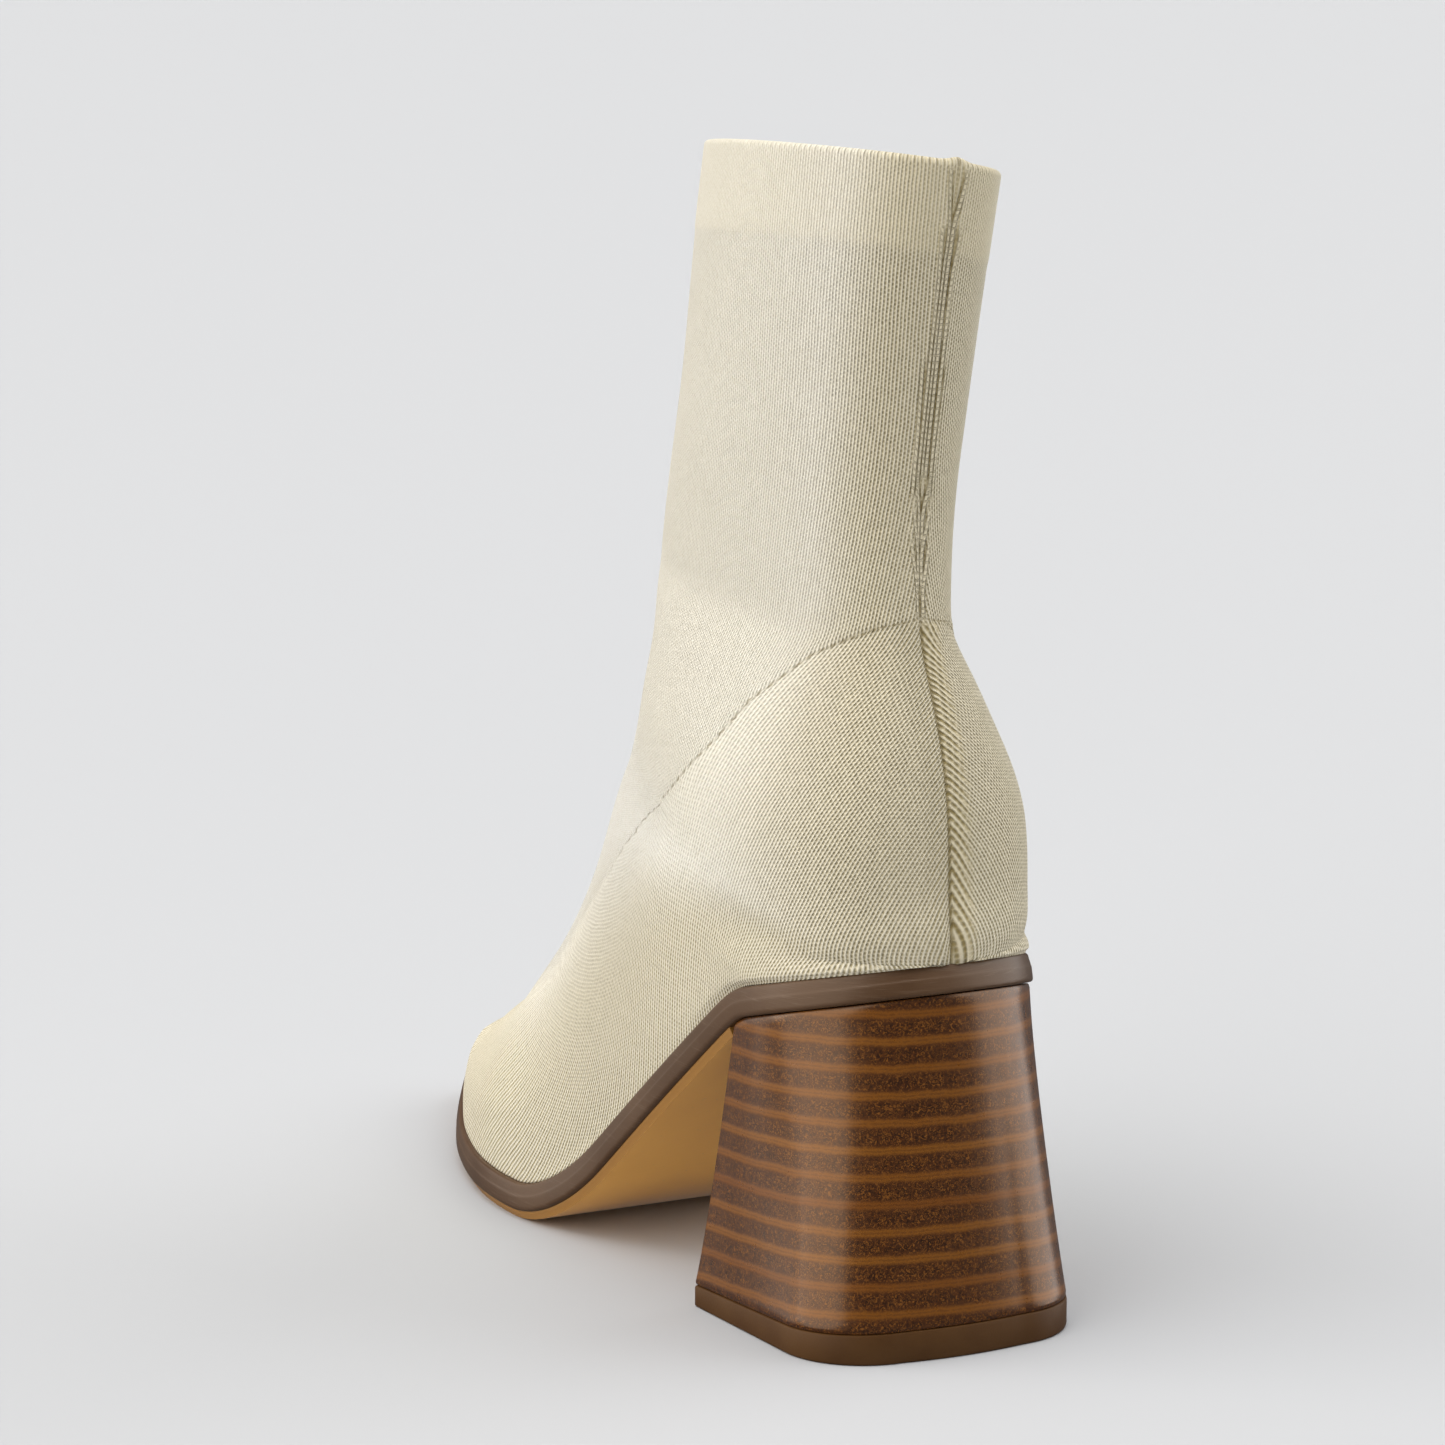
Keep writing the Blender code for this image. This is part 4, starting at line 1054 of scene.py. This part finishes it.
def knit_material():
    """Cream stretch knit: two directions of wales that meet at the fold, back seam, low seam and hem, with
    painted shade and shadow in its holes, grooves and seam crevices, on the back near the seam and inside
    the shaft, and painted light on the foot.
    """
    w = Wiring("cream_knit")
    shaft = w.attribute("shaft_knit")
    heel = w.attribute("heel_knit")
    fold, seam, drop = w.attribute("marks")
    row = heel[2]
    where = w.place()
    wander = w.minus(w.noise(where, 260.0), 0.5)
    fine = w.noise(where, 2600.0, 2.0, 0.6)
    broad = w.noise(where, 38.0, 3.0)
    uneven = w.ease(w.noise(where, 900.0, 1.0), 0.25, 0.75, 0.72, 1.1)

    hem = w.fall(drop, HEM_HEIGHT - 1.0, HEM_HEIGHT + 1.0)
    calm = w.times(w.scaled(hem, -0.42, 1.0), uneven)
    on_shaft = w.fall(row, ANKLE_ROW + 0.05, ANKLE_ROW + 0.3)
    below = w.times(w.ease(row, ANKLE_ROW + 0.1, ANKLE_ROW + 0.3), w.fall(row, SEAM_ROW, SEAM_ROW + 0.4))
    beside = w.times(w.fall(seam, 2.0, 6.5), below)
    ribby = w.math("MAXIMUM", beside, w.ease(row, 11.3, 13.5, 0.0, 0.8))
    # Painted shade on the back near the seam, where the boot turns away from the lights: it deepens the
    # painted shade of grooves and holes and darkens the yarn itself; on the foot a small share shades
    # grooves and holes
    shade_from = w.ease(row, 3.5, 9.0, 8.0, 18.0)
    shade_to = w.ease(row, 3.5, 9.0, 25.0, 60.0)
    shade_near_seam = w.ease(seam, shade_from, shade_to, 1.0, 0.20)
    painted_shade = w.math("MAXIMUM", shade_near_seam, w.times(w.ease(row, 11.0, 15.0), 0.27))

    def face(coordinates, ribs):
        wale = w.scaled(wander, 0.35, coordinates[0])
        course = w.scaled(wander, 0.7, coordinates[1])
        return knit_height(w, wale, course, ribs, calm)

    shaft_face = face(shaft, 0.0)
    heel_face = face(heel, ribby)
    inner_side = w.times(w.fall(w.split(where)[1], -0.0002, 0.0004), beside)
    coarse = knit_height(w, w.times(heel[0], 0.6), w.times(heel[1], 0.6), 0.7, 1.0)
    heel_face = [w.scaled(w.minus(c, b), inner_side, b) for c, b in zip(coarse, heel_face)]
    heel_face[0] = w.times(heel_face[0], w.ease(row, 10.0, 13.5, 1.0, 0.5))
    lower = w.ease(w.math("DIVIDE", fold, w.ease(row, 12.8, 15.0, 0.2, 7.0)), -1.0, 1.0)
    upper = w.rest(lower)
    height, hole, groove = [
        w.plus(w.times(a, upper), w.times(b, lower)) for a, b in zip(shaft_face, heel_face)
    ]

    # The seam's strands: painted shade in the channel between them, painted shadow in the gaps beside them
    # and in their twist notches
    notches, gaps, strands, band = back_seam(w, seam, w.scaled(wander, 1.5, drop))
    band = w.times(band, on_shaft)
    clear = w.rest(w.times(strands, on_shaft))
    hole = w.times(hole, clear)
    groove = w.times(groove, clear)
    gaps = w.times(gaps, clear, band)
    strands = w.scaled(notches, -0.7, strands)
    height = w.plus(w.times(height, clear), w.times(strands, 1.7, on_shaft))
    height = w.minus(height, w.times(gaps, 0.5))

    # Painted shadow along the groove of the low seam
    low_line = w.times(w.fall(seam, 0.1, 0.6), below)
    dash = w.ease(w.math("SINE", w.times(shaft[0], 2.4)), -0.3, 0.4)
    fade = w.times(w.ease(row, ANKLE_ROW, ANKLE_ROW + 0.2), w.fall(row, *FOLD_FADE))
    # Dashed dark line along the fold: its stitches, with painted shade in the fold's crease
    fold_stitches_and_shade = w.times(w.fall(w.math("ABSOLUTE", fold), 0.08, 0.42), fade, w.scaled(dash, 0.65, 0.30))
    shades = [
        # share, colour
        # painted shade in the grooves between wales, strongest near the back seam
        (w.times(groove, painted_shade, w.scaled(ribby, 0.50, 0.40)), YARN_SHADE),
        # painted shadow in the knit's holes, deepest near the back seam
        (w.times(hole, painted_shade, 0.95), HOLE_SHADOW),
        # painted shade over the back near the seam
        (w.times(w.minus(painted_shade, 0.2), 0.46), YARN_SHADE),
        # painted shade in the seam's channel
        (w.times(band, 0.22), YARN_SHADE),
        # painted shadow in the gaps beside the seam's strands
        (w.times(gaps, w.scaled(uneven, 1.1, -0.28)), CREVICE_SHADOW),
        (w.times(hem, 0.10), YARN_SHADE),
        # painted shadow in the strands' twist notches
        (w.times(notches, w.scaled(uneven, 0.7, -0.36), on_shaft), CREVICE_SHADOW),
        # painted shadow along the low seam
        (w.times(low_line, 0.72), CREVICE_SHADOW),
        # painted shade on the inner side beside the seam below the ankle, and painted shadow in its grooves
        (w.times(inner_side, 0.22), YARN_SHADE),
        (w.times(inner_side, groove, 0.60), CREVICE_SHADOW),
        # the fold line's stitches with painted shade in its crease
        (w.times(fold_stitches_and_shade, 0.62), CREVICE_SHADOW),
        # painted shade inside the shaft
        (w.times(w.rest(shaft[2]), 0.5), YARN_SHADE),
    ]
    yarn = w.mix(w.ease(broad, 0.35, 0.65), YARN_LIGHT, YARN_WARM)
    # painted light: the foot and toe made paler toward the toe
    yarn = w.mix(w.ease(row, 8.5, 13.0, 0.0, 0.65), yarn, YARN_PAINTED_LIGHT)
    yarn = w.mix(w.ease(fine, 0.42, 0.75, 0.0, 0.26), yarn, YARN_SHADE)
    for share, tint in shades:
        yarn = w.mix(share, yarn, tint)
    w.set(Base_Color=yarn, Roughness=0.9, Normal=w.bump(w.scaled(fine, 0.5, height), 0.00036))
    w.set(Sheen_Weight=0.15, Sheen_Roughness=0.5, Sheen_Tint=colour(0.95, 0.92, 0.85))
    w.set(Specular_IOR_Level=0.15)
    return w.material


def rand_material():
    """Brown moulded sole side with faint lengthwise scuffs."""
    w = Wiring("brown_rand")
    where = w.place()
    cloud = w.noise(where, 60.0, 4.0)
    grain = w.noise(where, 1500.0, 3.0, 0.6)
    streak = w.noise(w.stretch(where, (40.0, 40.0, 900.0)), 4.0)
    base = w.clouded(cloud, colour(0.072, 0.034, 0.014), colour(0.092, 0.047, 0.022))
    base = w.mix(w.ease(streak, 0.56, 0.8, 0.0, 0.25), base, colour(0.24, 0.17, 0.12))
    rough = w.ease(cloud, 0.2, 0.8, 0.34, 0.48)
    w.set(Base_Color=base, Roughness=rough, Normal=w.bump(w.scaled(grain, 0.5, streak), 0.00005, 0.6))
    w.set(Specular_Tint=colour(1.0, 0.82, 0.66), Coat_Weight=0.15, Coat_Roughness=0.28)
    return w.material


def outsole_material():
    """Tan outsole with pale specks, darker on its cut edge than on its underside."""
    w = Wiring("tan_outsole")
    where = w.place()
    cloud = w.noise(where, 45.0, 4.0)
    grain = w.noise(where, 1200.0, 3.0, 0.6)
    speck = w.noise(where, 900.0, 1.0)
    facing = w.split(w.put("ShaderNodeNewGeometry").outputs["True Normal"])[2]
    base = w.clouded(cloud, colour(0.88, 0.430, 0.080), colour(0.93, 0.475, 0.095))
    base = w.mix(w.ease(speck, 0.70, 0.78, 0.0, 0.35), base, colour(0.62, 0.38, 0.14))
    base = w.mix(w.ease(facing, -0.8, -0.55), base, colour(0.40, 0.190, 0.042))
    rough = w.ease(cloud, 0.2, 0.8, 0.30, 0.42)
    w.set(Base_Color=base, Roughness=rough, Normal=w.bump(w.scaled(grain, 0.6, cloud), 0.00006, 0.5))
    w.set(Coat_Weight=0.2, Coat_Roughness=0.25)
    return w.material


HEEL_DARK = colour(0.020, 0.0035, 0.001)
HEEL_BROWN = colour(0.070, 0.018, 0.002)
HEEL_FIBRE = colour(0.240, 0.084, 0.009)
HEEL_ORANGE = colour(0.160, 0.048, 0.003)
HEEL_AMBER = colour(0.200, 0.068, 0.004)

# The printed layers: height of the lowest line at the back, distance between lines, fall and tilt
STRIPE_FIRST = 9.46
STRIPE_PITCH = 5.29
STRIPE_FALL = 0.065
STRIPE_TILT = -0.029
HEEL_BACK = 27.5


def heel_material():
    """Glossy wrap printed with dark fibrous layers and thin orange-brown lines between them."""
    w = Wiring("stacked_heel_wrap")
    where = w.place()
    x, y, z = w.split(where)
    wobble = w.noise(w.stretch(where, (1.0, 1.0, 0.4)), 130.0)
    height = w.scaled(w.plus(x, HEEL_BACK * MM), STRIPE_FALL, z)
    height = w.scaled(y, STRIPE_TILT, height)
    height = w.scaled(w.minus(wobble, 0.5), 0.0009, height)
    turn = w.math("DIVIDE", w.minus(height, STRIPE_FIRST * MM), STRIPE_PITCH * MM)
    layer = w.math("FLOOR", w.plus(turn, 0.5))
    fuzz = w.noise(where, 1500.0, 3.0, 0.65)
    fuzz_wide = w.noise(where, 420.0, 3.0, 0.6)
    off = w.scaled(w.minus(fuzz, 0.5), 0.20, w.math("ABSOLUTE", w.minus(turn, layer)))
    stripe = w.fall(off, 0.05, 0.22)
    hair = w.fall(off, 0.012, 0.045)
    halo = w.fall(off, 0.14, 0.36)
    worm = w.noise(where, 1300.0, 2.0, 0.6, 2.2)
    tone = w.put("ShaderNodeTexWhiteNoise", {"W": layer}, noise_dimensions="1D").outputs["Value"]
    base = w.mix(w.ease(fuzz, 0.38, 0.66), HEEL_DARK, HEEL_BROWN)
    base = w.mix(w.ease(fuzz_wide, 0.5, 0.75, 0.0, 0.5), base, HEEL_BROWN)
    base = w.mix(w.ease(worm, 0.53, 0.62, 0.0, 0.7), base, HEEL_FIBRE)
    base = w.mix(w.times(halo, 0.45), base, HEEL_BROWN)
    base = w.mix(stripe, base, w.mix(tone, HEEL_ORANGE, HEEL_AMBER))
    base = w.mix(w.times(hair, 0.40), base, HEEL_BROWN)
    rough = w.ease(fuzz_wide, 0.2, 0.8, 0.26, 0.36)
    bump = w.bump(w.plus(w.times(stripe, 0.5), w.times(fuzz_wide, 0.6)), 0.00005, 0.5)
    w.set(Base_Color=base, Roughness=rough, Normal=bump, Specular_IOR_Level=1.0)
    w.set(Specular_Tint=colour(1.0, 0.62, 0.36), Coat_Weight=0.32, Coat_Roughness=0.2)
    return w.material


def lift_material():
    """Brown matt rubber of the top piece."""
    w = Wiring("brown_heel_lift")
    where = w.place()
    base = w.clouded(w.noise(where, 80.0, 4.0), colour(0.074, 0.029, 0.005), colour(0.090, 0.038, 0.008))
    bump = w.bump(w.noise(where, 1800.0, 3.0, 0.6), 0.00005, 0.6)
    w.set(Base_Color=base, Roughness=0.5, Normal=bump, Specular_IOR_Level=0.25)
    return w.material


def lining_material():
    """Cream matt sock lining with a fine pebble grain."""
    w = Wiring("cream_sock_lining")
    where = w.place()
    grain = w.put("ShaderNodeTexVoronoi", {"Vector": where, "Scale": 900.0}).outputs["Distance"]
    base = w.clouded(w.noise(where, 50.0, 3.0), colour(0.66, 0.60, 0.46), colour(0.72, 0.66, 0.52))
    w.set(Base_Color=base, Roughness=0.7, Normal=w.bump(grain, 0.00008, 0.7))
    return w.material


def dress(piece, material, node):
    """Gives a piece its material and puts it in its node's place."""
    piece.data.materials.clear()
    piece.data.materials.append(material)
    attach(piece, "root")
    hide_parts(node)


dress(make_upper(), knit_material(), "knit_upper")
dress(make_midsole(), rand_material(), "midsole")
dress(make_outsole(), outsole_material(), "outsole")
dress(make_heel_block(), heel_material(), "heel_block")
dress(make_top_piece(), lift_material(), "heel_top_piece")
dress(make_insole(), lining_material(), "insole")


# The studio: camera, floor and soft lights
EYE = (-1.02705, 0.59107, 0.34362)
FORWARD = (0.86543, -0.46544, -0.18547)
LENS = 154.8


def make_camera():
    """The camera at the photograph's viewing angle."""
    data = bpy.data.cameras.new("studio_camera")
    data.lens = LENS
    data.sensor_width = 36.0
    data.clip_end = 60.0
    camera = link("studio_camera", data)
    forward = np.array(FORWARD) / np.linalg.norm(FORWARD)
    right = np.cross(forward, (0.0, 0.0, 1.0))
    right /= np.linalg.norm(right)
    up = np.cross(right, forward)
    turn = Matrix((tuple(right), tuple(up), tuple(-forward))).transposed().to_4x4()
    turn.translation = EYE
    camera.matrix_world = turn
    bpy.context.scene.camera = camera


def make_floor():
    """A plain pale floor that the gloss of the boot doesn't mirror."""
    bpy.ops.object.select_all(action="DESELECT")
    bpy.ops.mesh.primitive_plane_add(size=40.0, location=(0.0, 0.0, 0.0))
    floor = bpy.context.object
    floor.name = "studio_floor"
    w = Wiring("studio_floor")
    w.set(Base_Color=colour(0.500, 0.504, 0.513), Roughness=0.75, Specular_IOR_Level=0.2)
    floor.data.materials.append(w.material)
    floor.visible_glossy = False


# Soft lights: degrees left of the camera and up, power, width in degrees and tint
LIGHTS = [
    # name, side, lift, power, width, tint
    ("key_left", 64.0, 27.0, 2.45, 86.0, (1.0, 0.985, 0.96)),
    ("side_left", 110.0, 14.0, 0.62, 56.0, (1.0, 0.96, 0.90)),
    ("fill_right", -104.0, 20.0, 2.0, 74.0, (1.0, 1.0, 1.0)),
    ("top_soft", 0.0, 88.0, 2.4, 70.0, (1.0, 1.0, 1.0)),
]


def add_sun(name, side, lift, power, width, tint):
    """One wide soft light."""
    data = bpy.data.lights.new(name, "SUN")
    data.energy = power
    data.angle = math.radians(width)
    data.color = tint
    toward = -np.array([FORWARD[0], FORWARD[1], 0.0])
    toward /= np.linalg.norm(toward)
    left = np.array([toward[1], -toward[0], 0.0])
    flat = toward * math.cos(math.radians(side)) + left * math.sin(math.radians(side))
    from_where = flat * math.cos(math.radians(lift))
    from_where[2] = math.sin(math.radians(lift))
    light = link(name, data)
    light.rotation_euler = Vector(from_where).to_track_quat("Z", "Y").to_euler()
    light.location = from_where * 2.0


def make_light():
    """A dim, slightly cool world and the soft lights."""
    world = bpy.data.worlds.new("studio")
    world.use_nodes = True
    background = world.node_tree.nodes["Background"]
    background.inputs["Color"].default_value = (0.95, 0.97, 1.0, 1.0)
    background.inputs["Strength"].default_value = 0.14
    bpy.context.scene.world = world
    for light in LIGHTS:
        add_sun(*light)


make_camera()
make_floor()
make_light()
bpy.context.scene.view_settings.view_transform = "Standard"
bpy.context.view_layer.update()
